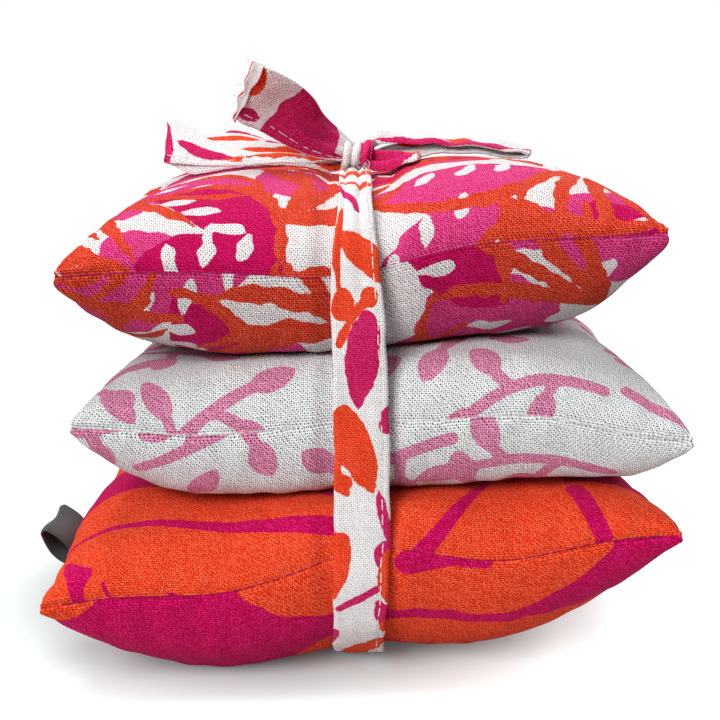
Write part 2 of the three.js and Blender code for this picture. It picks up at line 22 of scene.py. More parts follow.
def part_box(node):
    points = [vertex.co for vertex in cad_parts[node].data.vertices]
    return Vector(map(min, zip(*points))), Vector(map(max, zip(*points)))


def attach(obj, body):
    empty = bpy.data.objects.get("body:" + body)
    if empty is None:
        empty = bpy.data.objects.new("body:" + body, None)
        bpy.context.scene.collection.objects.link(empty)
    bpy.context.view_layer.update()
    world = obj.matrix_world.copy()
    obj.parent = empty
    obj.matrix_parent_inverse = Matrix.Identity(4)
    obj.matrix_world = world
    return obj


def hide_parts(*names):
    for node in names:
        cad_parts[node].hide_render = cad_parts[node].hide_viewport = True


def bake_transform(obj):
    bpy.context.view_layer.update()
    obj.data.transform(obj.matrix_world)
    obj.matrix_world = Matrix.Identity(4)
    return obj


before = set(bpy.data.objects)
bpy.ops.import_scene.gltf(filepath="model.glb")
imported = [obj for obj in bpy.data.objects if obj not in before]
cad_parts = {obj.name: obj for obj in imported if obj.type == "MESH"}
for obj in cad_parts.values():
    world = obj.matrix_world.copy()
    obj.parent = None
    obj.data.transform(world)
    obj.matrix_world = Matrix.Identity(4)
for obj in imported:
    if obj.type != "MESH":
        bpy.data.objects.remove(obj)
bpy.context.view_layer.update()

LOG = logging.getLogger("lavender_sachets")
MM = 0.001
CLOTH_UNIT = 100.0  # one unit of a cloth UV map, in mm
WAVE_SCALE = 0.314  # a wave texture of this scale repeats once in each unit
TOPSTITCH_HALF_PITCH = 1.3
TOPSTITCH_LENGTH = 2.1
LOOSE_YARNS = 9  # at a raw end of the tie
ROOT_BODY = "bottom_sachet_and_tie"

Array = np.ndarray


def linear(hex_colour: str) -> tuple[float, float, float, float]:
    """Turns an sRGB hex colour to linear.

    Args:
        hex_colour: the colour as "#rrggbb".

    Returns:
        Red, green, blue and alpha, from 0 to 1.
    """
    values = [int(hex_colour[i : i + 2], 16) / 255 for i in (1, 3, 5)]
    return (*(c / 12.92 if c <= 0.04045 else ((c + 0.055) / 1.055) ** 2.4 for c in values), 1.0)


def smooth(t: Array | float) -> Array:
    """Eases from 0 to 1 as t goes from 0 to 1."""
    held = np.clip(t, 0.0, 1.0)
    return held * held * (3 - 2 * held)


def soft_limit(height: Array, limit: Array | float, power: float = 8.0) -> Array:
    """The smaller of a height and a limit, with a rounded edge between them that is tighter for a higher power."""
    return height / (1 + (np.maximum(height, 0) / limit) ** power) ** (1 / power)


def unit(vectors: Array) -> Array:
    """Vectors of length one in the same directions."""
    return vectors / np.maximum(np.linalg.norm(vectors, axis=-1, keepdims=True), 1e-12)


@dataclass(frozen=True)
class Ripple:
    """A smooth uneven wave along a line: a sum of sines of nearly one length, the same on every run."""

    shortest: float
    longest: float
    seed: int
    count: int = 6

    def __call__(self, place: Array) -> Array:
        """Height from about -1 to 1 at each place along the line, in mm."""
        draws = np.random.default_rng(self.seed)
        total = np.zeros_like(place, dtype=float)
        for _ in range(self.count):
            length = draws.uniform(self.shortest, self.longest)
            total += np.sin(2 * np.pi * place / length + draws.uniform(0, 2 * np.pi))
        return total / math.sqrt(self.count * 2)


@dataclass(frozen=True)
class Lumps:
    """Low uneven lumps over a surface, the same on every run."""

    shortest: float
    longest: float
    seed: int
    count: int = 12

    def __call__(self, x: Array, y: Array) -> Array:
        """Height from about -1 to 1 at each place of the surface."""
        draws = np.random.default_rng(self.seed)
        total = np.zeros_like(x, dtype=float)
        for _ in range(self.count):
            length = draws.uniform(self.shortest, self.longest)
            heading = draws.uniform(0, np.pi)
            along = x * math.cos(heading) + y * math.sin(heading)
            total += np.sin(2 * np.pi * along / length + draws.uniform(0, 2 * np.pi))
        return total / math.sqrt(self.count)


# ---------------------------------------------------------------------------------------------------- materials


def feed(node: bpy.types.Node, inputs: dict[int | str, object] | Sequence[object]) -> None:
    """Sets or links a node's inputs.

    Args:
        node: the node.
        inputs: a value, or the output that feeds it, for each input by number or name, or for the first ones in order.
    """
    for key, value in inputs.items() if isinstance(inputs, dict) else enumerate(inputs):
        if isinstance(value, bpy.types.NodeSocket):
            node.id_data.links.new(value, node.inputs[key])
        else:
            node.inputs[key].default_value = value


def add_node(
    tree: bpy.types.NodeTree,
    kind: str,
    inputs: dict[int | str, object] | Sequence[object] = (),
    out: int | str = 0,
    **settings: object,
) -> bpy.types.NodeSocket:
    """Adds a shader node with its settings and links.

    Args:
        tree: the tree that gets the node.
        kind: the node's type, after "ShaderNode".
        inputs: what feed() takes.
        out: the output that is wanted, by number or name.
        **settings: the node's own properties.

    Returns:
        The wanted output.
    """
    node = tree.nodes.new(f"ShaderNode{kind}")
    for name, value in settings.items():
        setattr(node, name, value)
    feed(node, inputs)
    return node.outputs[out]


def new_material(name: str) -> tuple[bpy.types.Material, Callable[..., bpy.types.NodeSocket], bpy.types.Node]:
    """Makes a material that holds only a shader and its output.

    Args:
        name: the real material that it shows.

    Returns:
        The material, add_node() for its tree, and its Principled BSDF.
    """
    material = bpy.data.materials.new(name)
    material.use_nodes = True
    tree = material.node_tree
    tree.nodes.clear()
    node = partial(add_node, tree)
    surface = node("BsdfPrincipled")
    feed(tree.nodes.new("ShaderNodeOutputMaterial"), {"Surface": surface})
    return material, node, surface.node


def darker(hex_colour: str, share: float) -> tuple[float, float, float, float]:
    """A colour with only a share of its light."""
    return *(share * c for c in linear(hex_colour)[:3]), 1.0


@dataclass(frozen=True)
class Ink:
    """One colour of a print, which lies where an attribute of the piece is below zero."""

    layer: str
    colour: str


@dataclass(frozen=True)
class PrintedCotton:
    """Plain-woven cotton with a screen print: matt, with a soft sheen, and open pores between the threads.

    Lengths are in mm. Tones and shades are shares of full white, as the eye sees it.
    """

    name: str
    ground: str
    inks: tuple[Ink, ...]
    thread_pitch: float = 0.42
    pore_shade: float = 0.6
    pore_open: float = 0.0
    crossing_glint_tone: float = 0.14
    ink_wander: float = 0.22
    ink_edge: float = 0.09
    roughness: float = 0.9
    sheen: float = 0.02
    bump: float = 0.09
    glow: float = 0.0
    dull_tone: float = 0.0

    def make(self) -> bpy.types.Material:
        """Builds the material."""
        material, node, shader = new_material(self.name)
        place = node("VectorMath", (node("UVMap", uv_map="cloth"), (CLOTH_UNIT,) * 3), operation="MULTIPLY")
        # The threads wander by a fraction of their spacing, as on light cotton.
        wander = node("TexNoise", {"Vector": place, "Scale": 0.07, "Detail": 4.0, "Roughness": 0.62}, "Color")
        centred = node("VectorMath", (wander, (0.5, 0.5, 0.5)), operation="SUBTRACT")
        shift = node("VectorMath", (centred, (1.6, 1.6, 0)), operation="MULTIPLY")
        threads = node("VectorMath", (place, shift), operation="ADD")
        counted = node("VectorMath", (threads, (1 / self.thread_pitch,) * 3), operation="MULTIPLY")
        axes = node("SeparateXYZ", (counted,)).node.outputs[:2]
        numbers = [node("Math", (axis,), operation="FLOOR") for axis in axes]
        across = [node("Math", (axis,), operation="FRACT") for axis in axes]
        edges = [node("Math", (share, 2.0, -1.0), operation="MULTIPLY_ADD") for share in across]
        crowns = [node("Math", (edge,), operation="ABSOLUTE") for edge in edges]
        # Each thread has its own thickness and tone.
        tones = []
        for stretch in ((1.0, 0.03, 1.0), (0.03, 1.0, 1.0)):
            drawn = node("VectorMath", (counted, stretch), operation="MULTIPLY")
            tones.append(node("TexNoise", {"Vector": drawn, "Scale": 0.9, "Detail": 2.0, "Roughness": 0.7}))
        tone = node("Math", tones, operation="ADD")
        # A pore opens where four threads meet, wider at every other meeting, and some are nearly closed.
        shifted = [node("Math", (axis, 0.5), operation="ADD") for axis in axes]
        meets = [node("Math", (axis,), operation="FLOOR") for axis in shifted]
        twos = node("Math", (node("Math", meets, operation="ADD"), 2.0), operation="MODULO")
        odd = node("Math", (twos,), operation="ABSOLUTE")
        chance = node("TexWhiteNoise", {"Vector": node("CombineXYZ", meets)}, noise_dimensions="2D")
        gap = node("Math", crowns, operation="MULTIPLY")
        size = node("Math", (chance, 0.3, self.pore_open), operation="MULTIPLY_ADD")
        size = node("Math", (odd, 0.34, size), operation="MULTIPLY_ADD")
        open_share = node("Math", (gap, size), operation="ADD")
        pore = node("MapRange", (open_share, 0.68, 1.25), interpolation_type="SMOOTHSTEP")
        groove = node("Math", (node("Math", crowns, operation="MAXIMUM"), 4.0), operation="POWER")

        # The print's edge is slightly ragged, because ink follows the threads.
        rag = node("TexNoise", {"Vector": place, "Scale": 1.6, "Detail": 3.0, "Roughness": 0.65})
        ragged = node("Math", (rag, 2 * self.ink_wander, -self.ink_wander), operation="MULTIPLY_ADD")
        colour: object = linear(self.ground)
        for ink in self.inks:
            reach = node("Attribute", out="Fac", attribute_name=ink.layer)
            edge = node("Math", (reach, ragged), operation="ADD")
            laid = node("MapRange", (edge, self.ink_edge, -self.ink_edge), interpolation_type="SMOOTHSTEP")
            colour = node("Mix", {0: laid, 6: colour, 7: linear(ink.colour)}, 2, data_type="RGBA")
        # The ink takes unevenly. Painted shade darkens the pores and the valleys between threads, and each thread
        # crossing gets a painted glint of random strength, lighter or darker than the mean.
        cloudy = node("TexNoise", {"Vector": place, "Scale": 0.09, "Detail": 3.0})
        crossing = node("TexWhiteNoise", {"Vector": node("CombineXYZ", numbers)}, noise_dimensions="2D")
        value: object = -0.1 - 0.02 - self.crossing_glint_tone / 2
        for part, share in (
            (tone, 0.1), (cloudy, 0.04), (groove, -0.04), (crossing, self.crossing_glint_tone), (pore, -self.pore_shade)
        ):
            value = node("Math", (part, share, value), operation="MULTIPLY_ADD")
        # Painted shade: the lower panels and the inside face of the raised tail are darkened by a share of their
        # colour, as they face away from the light.
        under = node("Attribute", out="Fac", attribute_name="painted_shade_side")
        share = node("Math", (under, -self.dull_tone, 1.0), operation="MULTIPLY_ADD")
        # The weave shows as clearly on a dark ink as on the bare cloth, so its tone is added to the colour as seen.
        seen = node("Gamma", (colour, 1 / 2.2))
        seen = node("VectorMath", {0: seen, "Scale": share}, operation="SCALE")
        for operation, other in (("ADD", value), ("MAXIMUM", (0.0,) * 3), ("MINIMUM", (1.0,) * 3)):
            seen = node("VectorMath", (seen, other), operation=operation)

        # Relief of the plain weave: warp over weft in every other square.
        twos = node("Math", (node("Math", numbers, operation="ADD"), 2.0), operation="MODULO")
        parity = node("Math", (twos,), operation="ABSOLUTE")
        over = node("Mix", {0: parity, 2: crowns[0], 3: crowns[1]}, data_type="FLOAT")
        round_thread = node("Math", (1.0, node("Math", (over, over), operation="MULTIPLY")), operation="SUBTRACT")
        relief = node("Math", (pore, -0.8, round_thread), operation="MULTIPLY_ADD")
        feed(shader, {
            "Base Color": node("Gamma", (seen, 2.2)),
            "Normal": node("Bump", {"Strength": 1.0, "Distance": self.bump * MM, "Height": relief}),
            "Roughness": self.roughness,
            "Specular IOR Level": 0.1,
            "Sheen Weight": self.sheen,
            "Sheen Roughness": 0.5,
            # Light passes through one or two layers of thin cotton.
            "Subsurface Weight": self.glow,
            "Subsurface Radius": (1.0, 0.8, 0.75),
            "Subsurface Scale": 1.2 * MM,
        })
        return material


@dataclass(frozen=True)
class SewingThread:
    """Spun thread: a two-ply twist that gives fine slanting bands, and hardly any shine."""

    name: str
    colour: str
    twist_pitch: float = 0.5

    def make(self) -> bpy.types.Material:
        """Builds the material."""
        material, node, shader = new_material(self.name)
        place = node("VectorMath", (node("TexCoord", out="Object"), (1 / MM,) * 3), operation="MULTIPLY")
        look = {"Vector": place, "Scale": WAVE_SCALE / self.twist_pitch, "Distortion": 1.5}
        bands = node("TexWave", look, "Fac", bands_direction="DIAGONAL")
        tones = {0: bands, 6: darker(self.colour, 0.6), 7: linear(self.colour)}
        feed(shader, {
            "Base Color": node("Mix", tones, 2, data_type="RGBA"),
            "Normal": node("Bump", {"Strength": 0.6, "Distance": 0.05 * MM, "Height": bands}),
            "Roughness": 0.7,
            "Specular IOR Level": 0.2,
        })
        return material


@dataclass(frozen=True)
class WovenTape:
    """Polyester satin tape: smooth dark yarns across its width, with a fine rib and a low shine."""

    name: str
    colour: str
    rib_pitch: float = 0.45

    def make(self) -> bpy.types.Material:
        """Builds the material."""
        material, node, shader = new_material(self.name)
        place = node("VectorMath", (node("UVMap", uv_map="cloth"), (CLOTH_UNIT,) * 3), operation="MULTIPLY")
        look = {"Vector": place, "Scale": WAVE_SCALE / self.rib_pitch, "Distortion": 0.6, "Detail": 1.0}
        ribs = node("TexWave", look, "Fac", bands_direction="X")
        drawn = node("VectorMath", (place, (4.0, 0.5, 1.0)), operation="MULTIPLY")
        yarn = node("TexNoise", {"Vector": drawn, "Scale": 1.0, "Detail": 2.0})
        mixed = node("Math", (ribs, 0.5, yarn), operation="MULTIPLY_ADD")
        tones = {0: mixed, 6: darker(self.colour, 0.55), 7: linear(self.colour)}
        feed(shader, {
            "Base Color": node("Mix", tones, 2, data_type="RGBA"),
            "Normal": node("Bump", {"Strength": 0.5, "Distance": 0.05 * MM, "Height": mixed}),
            "Roughness": 0.5,
            "Sheen Weight": 0.2,
        })
        return material


@dataclass(frozen=True)
class DriedBuds:
    """Dried lavender buds: small, dull, grey-blue to straw, all over a loose heap."""

    name: str
    colours: tuple[str, str, str]
    bud_size: float = 3.0

    def make(self) -> bpy.types.Material:
        """Builds the material."""
        material, node, shader = new_material(self.name)
        place = node("VectorMath", (node("TexCoord", out="Object"), (1 / MM,) * 3), operation="MULTIPLY")
        buds = node("TexVoronoi", {"Vector": place, "Scale": 1 / self.bud_size}).node.outputs
        tones = node("ValToRGB", (node("SeparateColor", (buds["Color"],)),))
        stops = tones.node.color_ramp.elements
        stops.new(0.5)
        for stop, at, colour in zip(stops, (0.1, 0.5, 0.9), self.colours):
            stop.position = at
            stop.color = linear(colour)
        feed(shader, {
            "Base Color": tones,
            "Normal": node("Bump", {"Strength": 0.8, "Distance": 0.6 * MM, "Height": buds["Distance"]}),
            "Roughness": 0.9,
        })
        return material


# ------------------------------------------------------------------------------------------------------- prints


def stroke_distance(place: Array, line: Array, half_widths: Array) -> Array:
    """Distance to a round-ended stroke, below zero inside it.

    Args:
        place: points of the cloth, one in each row, in mm.
        line: points of the stroke's middle line.
        half_widths: half of the stroke's width at each of them.

    Returns:
        The distance of each point, in mm.
    """
    reach = np.full(len(place), 1e3)
    low = line.min(0) - half_widths.max() - 3
    high = line.max(0) + half_widths.max() + 3
    near = np.nonzero((place[:, 0] > low[0]) & (place[:, 0] < high[0]))[0]
    near = near[(place[near, 1] > low[1]) & (place[near, 1] < high[1])]
    if not len(near):
        return reach
    points = place[near]
    best = np.full(len(points), 1e3)
    for a, b, wa, wb in zip(line[:-1], line[1:], half_widths[:-1], half_widths[1:]):
        step = b - a
        share = np.clip(((points - a) @ step) / max(step @ step, 1e-9), 0, 1)
        gap = np.linalg.norm(points - a - share[:, None] * step, axis=1)
        best = np.minimum(best, gap - (wa + (wb - wa) * share))
    reach[near] = best
    return reach


def towards(angle: float) -> Array:
    """A step of length one in a direction on the cloth."""
    return np.array([math.cos(angle), math.sin(angle)])


def curved_line(start: Array, heading: float, length: float, turn: float, steps: int = 9) -> Array:
    """Points of a line that starts at a place and turns steadily as it goes."""
    share = np.linspace(0, 1, steps)
    angle = heading + turn * share
    moves = np.stack([np.cos(angle), np.sin(angle)], 1) * (length / (steps - 1))
    return start + np.vstack([np.zeros(2), np.cumsum(moves[:-1], axis=0)])


class Motif(Enum):
    """What a print repeats over the cloth."""

    BRUSHED_LEAVES = "brushed leaves"
    BERRY_SPRIGS = "berry sprigs"
    BROAD_LEAVES = "broad leaves"
    LOOSE_LEAVES = "loose leaves"


@dataclass
class Print:
    """A generic print of strokes and leaves: how far each place on the cloth is from the nearest shape of each ink."""

    motif: Motif
    spacing: float
    reach: float
    seed: int
    layers: tuple[str, ...]
    ragged: float = 0.0
    accents: tuple[tuple[int, float, float, float, float, float], ...] = ()

    def centres(self, draws: np.random.Generator) -> Array:
        """Places of the motifs: rows with every other one shifted, each place moved a little at random."""
        count = int(math.ceil(self.reach / self.spacing))
        found = []
        for row in range(-count, count + 1):
            for column in range(-count, count + 1):
                shift = 0.5 if row % 2 else 0.0
                jitter = draws.uniform(-0.2, 0.2, 2)
                found.append(((column + shift) * self.spacing, row * self.spacing * 0.87) + jitter * self.spacing)
        return np.array(found)

    def shapes(self) -> list[tuple[int, Array, Array]]:
        """Strokes of the whole print, each with its layer's number, middle line and half widths."""
        draws = np.random.default_rng(self.seed)
        strokes: list[tuple[int, Array, Array]] = []
        for i, centre in enumerate(self.centres(draws)):
            heading = draws.uniform(0, 2 * np.pi)
            strokes.extend(getattr(self, self.motif.name.lower())(draws, centre, heading, i))
        for layer, x, y, heading, length, width in self.accents:
            strokes.append(self.leaf(layer, np.array([x, y]), heading, length, width, 0.2))
        return strokes

    @staticmethod
    def leaf(
        layer: int, start: Array, heading: float, length: float, width: float, turn: float, point: float = 0.8
    ) -> tuple:
        """One pointed leaf that curves as it goes."""
        line = curved_line(start, heading, length, turn, 11)
        share = np.linspace(0, 1, 11)
        return layer, line, 0.5 * width * np.sin(np.pi * share**0.8) ** point

    def brushed_leaves(self, draws: np.random.Generator, centre: Array, heading: float, number: int) -> list[tuple]:
        """A broad leaf with bare slits and one brushed outline, or a fan of long brushed blades over a leaf."""
        made = []
        ahead = towards(heading)
        if number % 2:
            length, turn = draws.uniform(34, 42), draws.choice([-1, 1]) * draws.uniform(0.5, 1.0)
            rib = curved_line(centre - 0.45 * length * ahead, heading, length, turn, 15)
            share = np.linspace(0, 1, 15)
            along = unit(np.gradient(rib, axis=0))
            beside = np.stack([-along[:, 1], along[:, 0]], 1) * draws.choice([-1, 1])
            width = draws.uniform(7.5, 9.5) * np.sin(np.pi * share**0.85) ** 0.75
            made.append((int(number % 4 == 1), rib, width * 0.92))
            for k in (4, 7, 10):
                side = math.atan2(beside[k, 1], beside[k, 0])
                made.append(self.leaf(2, rib[k] + beside[k] * 1.0, side - 0.8, width[k] * 1.15, 3.0, 0.4, 1.3))
            rough = 1 + 0.2 * np.sin(share * draws.uniform(9, 16) + draws.uniform(0, 6))
            outline = rib - beside * (width * 1.02)[:, None]
            made.append((3, outline, 1.9 * rough * np.sin(np.pi * np.clip(share, 0.06, 0.94)) ** 0.5))
            return made
        blot = centre + 11 * towards(heading + 2.2)
        made.append(self.leaf(0, blot, heading + 0.8, draws.uniform(26, 34), draws.uniform(14, 18), 0.6))
        blades = 4
        for k in range(blades):
            spread = heading + (k - (blades - 1) / 2) * 0.36 + draws.uniform(-0.07, 0.07)
            root = centre - 13 * ahead + draws.uniform(-1, 1, 2)
            line = curved_line(root, spread, draws.uniform(26, 36), draws.uniform(0.6, 1.0), 14)
            share = np.linspace(0, 1, 14)
            rough = 1 + 0.14 * np.sin(share * draws.uniform(12, 20) + draws.uniform(0, 6))
            made.append((3, line, draws.uniform(1.6, 2.2) * rough * np.sin(np.pi * (0.12 + 0.85 * share)) ** 0.6))
        return made

    def berry_sprigs(self, draws: np.random.Generator, centre: Array, heading: float, number: int) -> list[tuple]:
        """A curved stem with pairs of oval leaves, and a few loose dots beside it."""
        length = draws.uniform(27, 34)
        start = centre - 0.5 * length * towards(heading)
        turn = draws.choice([-1, 1]) * draws.uniform(0.5, 0.9)
        stem = curved_line(start, heading, length, turn, 13)
        made = [(0, stem, np.full(13, 1.25))]
        for k, side in ((4, 1), (8, -1)):
            direction = heading + turn * k / 12 + side * draws.uniform(0.75, 0.95)
            stalk = curved_line(stem[k], direction, draws.uniform(4, 7), 0.5 * side, 5)
            made.append((0, stalk, np.full(5, 1.15)))
            made.append(self.leaf(0, stalk[-1], direction + 0.5 * side, 8.0, 5.4, 0.1))
        made.append(self.leaf(0, stem[-1], heading + turn, 8.5, 5.6, 0.0))
        dot = centre + 12 * towards(heading + 1.9)
        made.append((0, np.array([dot, dot + 0.01]), np.full(2, 2.5)))
        return made

    def broad_leaves(self, draws: np.random.Generator, centre: Array, heading: float, number: int) -> list[tuple]:
        """Very large leaves that cover about half of the cloth, each split by a thin rib."""
        length = draws.uniform(56, 74)
        turn = draws.uniform(0.5, 1.0) * draws.choice([-1, 1])
        start = centre - 0.5 * length * towards(heading)
        rib = curved_line(start, heading, length * 0.86, turn, 12)
        return [
            self.leaf(0, start, heading, length, draws.uniform(28, 36), turn),
            (1, rib, np.linspace(1.9, 0.4, 12)),
        ]

    def loose_leaves(self, draws: np.random.Generator, centre: Array, heading: float, number: int) -> list[tuple]:
        """A small leaf, or a dot on a short stalk, in one ink or the other."""
        layer = int(number % 3 != 0)
        if number % 2:
            return [self.leaf(layer, centre, heading, draws.uniform(13, 19), draws.uniform(5, 6.8), 0.7)]
        stalk = curved_line(centre, heading, draws.uniform(10, 14), draws.uniform(-0.9, 0.9), 6)
        dot = np.array([stalk[-1], stalk[-1] + 0.01])
        return [(layer, stalk, np.full(6, 0.8)), (layer, dot, np.full(2, draws.uniform(1.8, 2.3)))]

    def distances(self, place: Array) -> dict[str, Array]:
        """How far each point of the cloth is from the nearest shape of each ink, below zero inside one.

        Args:
            place: points of the flat cloth, one in each row, in mm.

        Returns:
            The distances for each layer by its name.
        """
        nearest = [np.full(len(place), 8.0) for _ in self.layers]
        for layer, line, widths in self.shapes():
            nearest[layer] = np.minimum(nearest[layer], stroke_distance(place, line, widths))
        for k, reach in enumerate(nearest):
            reach += self.ragged * Lumps(2.4, 7.0, self.seed + k, 16)(place[:, 0], place[:, 1])
        return dict(zip(self.layers, nearest))


# ------------------------------------------------------------------------------------------------------- meshes


def set_corner_values(obj: bpy.types.Object, layer: str, values: Array) -> None:
    """Writes one number for each face corner of a piece, as an attribute."""
    attribute = obj.data.attributes.new(layer, "FLOAT", "CORNER")
    attribute.data.foreach_set("value", values.astype(np.float32))


def set_cloth(obj: bpy.types.Object, corner_place: Array, cloth_print: Print | None = None) -> None:
    """Gives a piece its place on the flat cloth, as a UV map, and the reach of each ink there.

    Args:
        obj: the piece.
        corner_place: the place of each face corner on the flat cloth, in mm.
        cloth_print: the print on that cloth, if it has one.
    """
    uv = obj.data.uv_layers.new(name="cloth")
    uv.data.foreach_set("uv", (corner_place / CLOTH_UNIT).astype(np.float32).ravel())
    if cloth_print is None:
        return
    # Corners that meet at one place are worked out once.
    keys = (corner_place * 1000).round().astype(np.int64)
    _, first, back = np.unique(keys[:, 0] * 10**7 + keys[:, 1], return_index=True, return_inverse=True)
    for layer, reach in cloth_print.distances(corner_place[first]).items():
        set_corner_values(obj, layer, reach[back.ravel()])


def mesh_piece(name: str, points: Array, faces: Array | list[list[int]]) -> bpy.types.Object:
    """Makes a smooth-shaded piece.

    Args:
        name: the piece's name.
        points: its points, in mm.
        faces: for each face the numbers of its points.

    Returns:
        The new object, at the origin.
    """
    mesh = bpy.data.meshes.new(name)
    mesh.from_pydata((points * MM).tolist(), [], faces if isinstance(faces, list) else faces.tolist())
    mesh.polygons.foreach_set("use_smooth", np.ones(len(mesh.polygons), bool))
    mesh.update()
    obj = bpy.data.objects.new(name, mesh)
    bpy.context.scene.collection.objects.link(obj)
    return obj


def dress(
    obj: bpy.types.Object, material: bpy.types.Material, body: str = "", replaced: Sequence[str] = ()
) -> None:
    """Gives a piece its material and its place in the record.

    Args:
        obj: the piece.
        material: its material.
        body: the body that it rides on, if it rides on one.
        replaced: the solids that it stands for.
    """
    obj.data.materials.clear()
    obj.data.materials.append(material)
    if body:
        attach(obj, body)
    if replaced:
        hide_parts(*replaced)


def grid_faces(rows: int, columns: int, wrap: bool = False, flip: bool = False) -> Array:
    """Faces of a grid whose points are numbered row by row.

    Args:
        rows: how many rows of points.
        columns: how many points in a row.
        wrap: whether the last column joins the first.
        flip: whether the faces look the other way.

    Returns:
        The numbers of the corners of each face.
    """
    r = np.arange(rows - 1)[:, None]
    c = np.arange(columns if wrap else columns - 1)[None, :]
    nxt = (c + 1) % columns
    corners = [r * columns + c, r * columns + nxt, (r + 1) * columns + nxt, (r + 1) * columns + c]
    faces = np.stack([np.broadcast_to(x, np.broadcast(r, c).shape).ravel() for x in corners], 1)
    return faces[:, ::-1] if flip else faces


def joined_halves(size: int) -> tuple[Array, Array, Array]:
    """Joins two square grids of points, an upper and a lower one, along their whole border.

    Args:
        size: how many points a side of the grid has.

    Returns:
        Which points of the lower grid are off the border and so are points of their own, the number of each point of
        the lower grid in the whole, and the faces.
    """
    inner = np.pad(np.ones((size - 2, size - 2), bool), 1).ravel()
    numbers = np.arange(size * size)
    numbers[inner] = size * size + np.arange(inner.sum())
    return inner, numbers, np.vstack([grid_faces(size, size), numbers[grid_faces(size, size, flip=True)]])


def reach_along(points: Array, axis: int = 0) -> Array:
    """Distance of each point from the first one, along a line or along one axis of a grid."""
    lengths = np.linalg.norm(np.diff(points, axis=axis), axis=-1)
    return np.insert(np.cumsum(lengths, axis=axis), 0, 0.0, axis=axis)


def resampled(line: Array, at: Array) -> Array:
    """Points of a line at distances along it."""
    reach = reach_along(line)
    return np.stack([np.interp(at, reach, column) for column in line.T], 1)


def steps_along(points: Array, closed: bool) -> Array:
    """Steps from each point, or row of a grid, to the next, where a closed one goes on at its start."""
    return np.roll(points, -1, 0) - np.roll(points, 1, 0) if closed else np.gradient(points, axis=0)


def tube_piece(name: str, tubes: Sequence[tuple[Array, Array, Array, Array]], sides: int) -> bpy.types.Object:
    """Makes round tubes with closed ends, as one piece.

    Args:
        name: the piece's name.
        tubes: for each tube and at each point of its middle line, that point, two directions across it and its radius.
        sides: how many sides a tube has.

    Returns:
        The new object.
    """
    turns = np.linspace(0, 2 * np.pi, sides, endpoint=False)[:, None]
    points: list[Array] = []
    faces: list[list[int]] = []
    base = 0
    for line, beside, over, radius in tubes:
        ring = np.cos(turns) * beside[:, None] + np.sin(turns) * over[:, None]
        points.append((line[:, None] + radius[:, None, None] * ring).reshape(-1, 3))
        faces.extend((grid_faces(len(line), sides, wrap=True, flip=True) + base).tolist())
        last = base + (len(line) - 1) * sides
        faces.extend([list(range(base, base + sides)), list(range(last + sides - 1, last - 1, -1))])
        base += len(line) * sides
    return mesh_piece(name, np.vstack(points), faces)


def stitch_row(
    name: str, line: Array, length: float, radius: float, closed: bool = True, keep: Array | None = None
) -> bpy.types.Object:
    """Stitches along a line, as one piece.

    Args:
        name: the piece's name.
        line: places at half the stitches' spacing: every other one is the middle of a stitch.
        length: a stitch's length.
        radius: its thread's radius.
        closed: whether the line's end joins its start.
        keep: for each stitch whether it is made, if not all are.

    Returns:
        The new object.
    """
    kept = slice(None) if keep is None else keep
    middles, ahead = line[::2][kept], unit(steps_along(line, closed)[::2])[kept]
    beside = unit(np.cross(ahead, [0.0, 0.0, 1.0]) + 1e-9)
    over = np.cross(beside, ahead)
    # The thread narrows where it goes into the cloth.
    shares = np.array([-1, -0.94, -0.72, 0, 0.72, 0.94, 1])
    girths = radius * np.array([0.05, 0.6, 0.95, 1.0, 0.95, 0.6, 0.05])
    rows = np.ones((len(shares), 1))
    tubes = [
        (middle + shares[:, None] * length / 2 * way, rows * across, rows * up, girths)
        for middle, way, across, up in zip(middles, ahead, beside, over)
    ]
    return tube_piece(name, tubes, 6)


def loose_threads(name: str, starts: Sequence[Array], steps: Sequence[Array], radius: float) -> bpy.types.Object:
    """Loose ends of yarn, each a thin tube that narrows to its tip.

    Args:
        name: the piece's name.
        starts: where each thread starts.
        steps: the steps that it goes on by.
        radius: its radius at the start.

    Returns:
        The new object.
    """
    tubes = []
    for start, moves in zip(starts, steps):
        line = start + np.vstack([np.zeros(3), np.cumsum(moves, axis=0)])
        ahead = unit(np.gradient(line, axis=0))
        beside = unit(np.cross(ahead, [0.3, 0.9, 0.2]))
        tubes.append((line, beside, np.cross(beside, ahead), radius * np.linspace(1.0, 0.7, len(line))))
    return tube_piece(name, tubes, 5)


# ------------------------------------------------------------------------------------------------------ sachets


def crowded(count: int, power: float) -> Array:
    """Places from -1 to 1 that crowd towards both ends, more for a higher power."""
    even = np.linspace(-1, 1, count)
    return np.sign(even) * (1 - (1 - np.abs(even)) ** power)


def cubic_weights(at: Array, count: int) -> Array:
    """Weights that read a smooth curve off a row of values.

    Args:
        at: places on the row, counted in its values.
        count: how many values it has.

    Returns:
        For each place, the weight of each value.
    """
    weights = np.zeros((len(at), count))
    low = np.clip(np.floor(at).astype(int), 0, count - 2)
    t = at - low
    for offset, weight in (
        (-1, -0.5 * t + t**2 - 0.5 * t**3),
        (0, 1 - 2.5 * t**2 + 1.5 * t**3),
        (1, 0.5 * t + 2 * t**2 - 1.5 * t**3),
        (2, -0.5 * t**2 + 0.5 * t**3),
    ):
        np.add.at(weights, (np.arange(len(at)), np.clip(low + offset, 0, count - 1)), weight)
    return weights


@dataclass(frozen=True)
class SachetForm:
    """Sizes of one sachet, as the frame holds them: a filled square pillow, pressed by its neighbours."""

    side: float
    draw_in: float
    seam_height: float
    crown_above: float
    crown_below: float
    front_left_rise: float
    front_right_rise: float
    back_right_rise: float
    back_left_rise: float
    wave_rises: tuple[float, float, float]
    wave_places: tuple[float, float, float]
    shift_right: float
    turn_degrees: float
    base: float
    tilt: float = 0.0
    pressed_thickness: float | None = None
    tilt_above: float = 0.0
    stands: bool = False


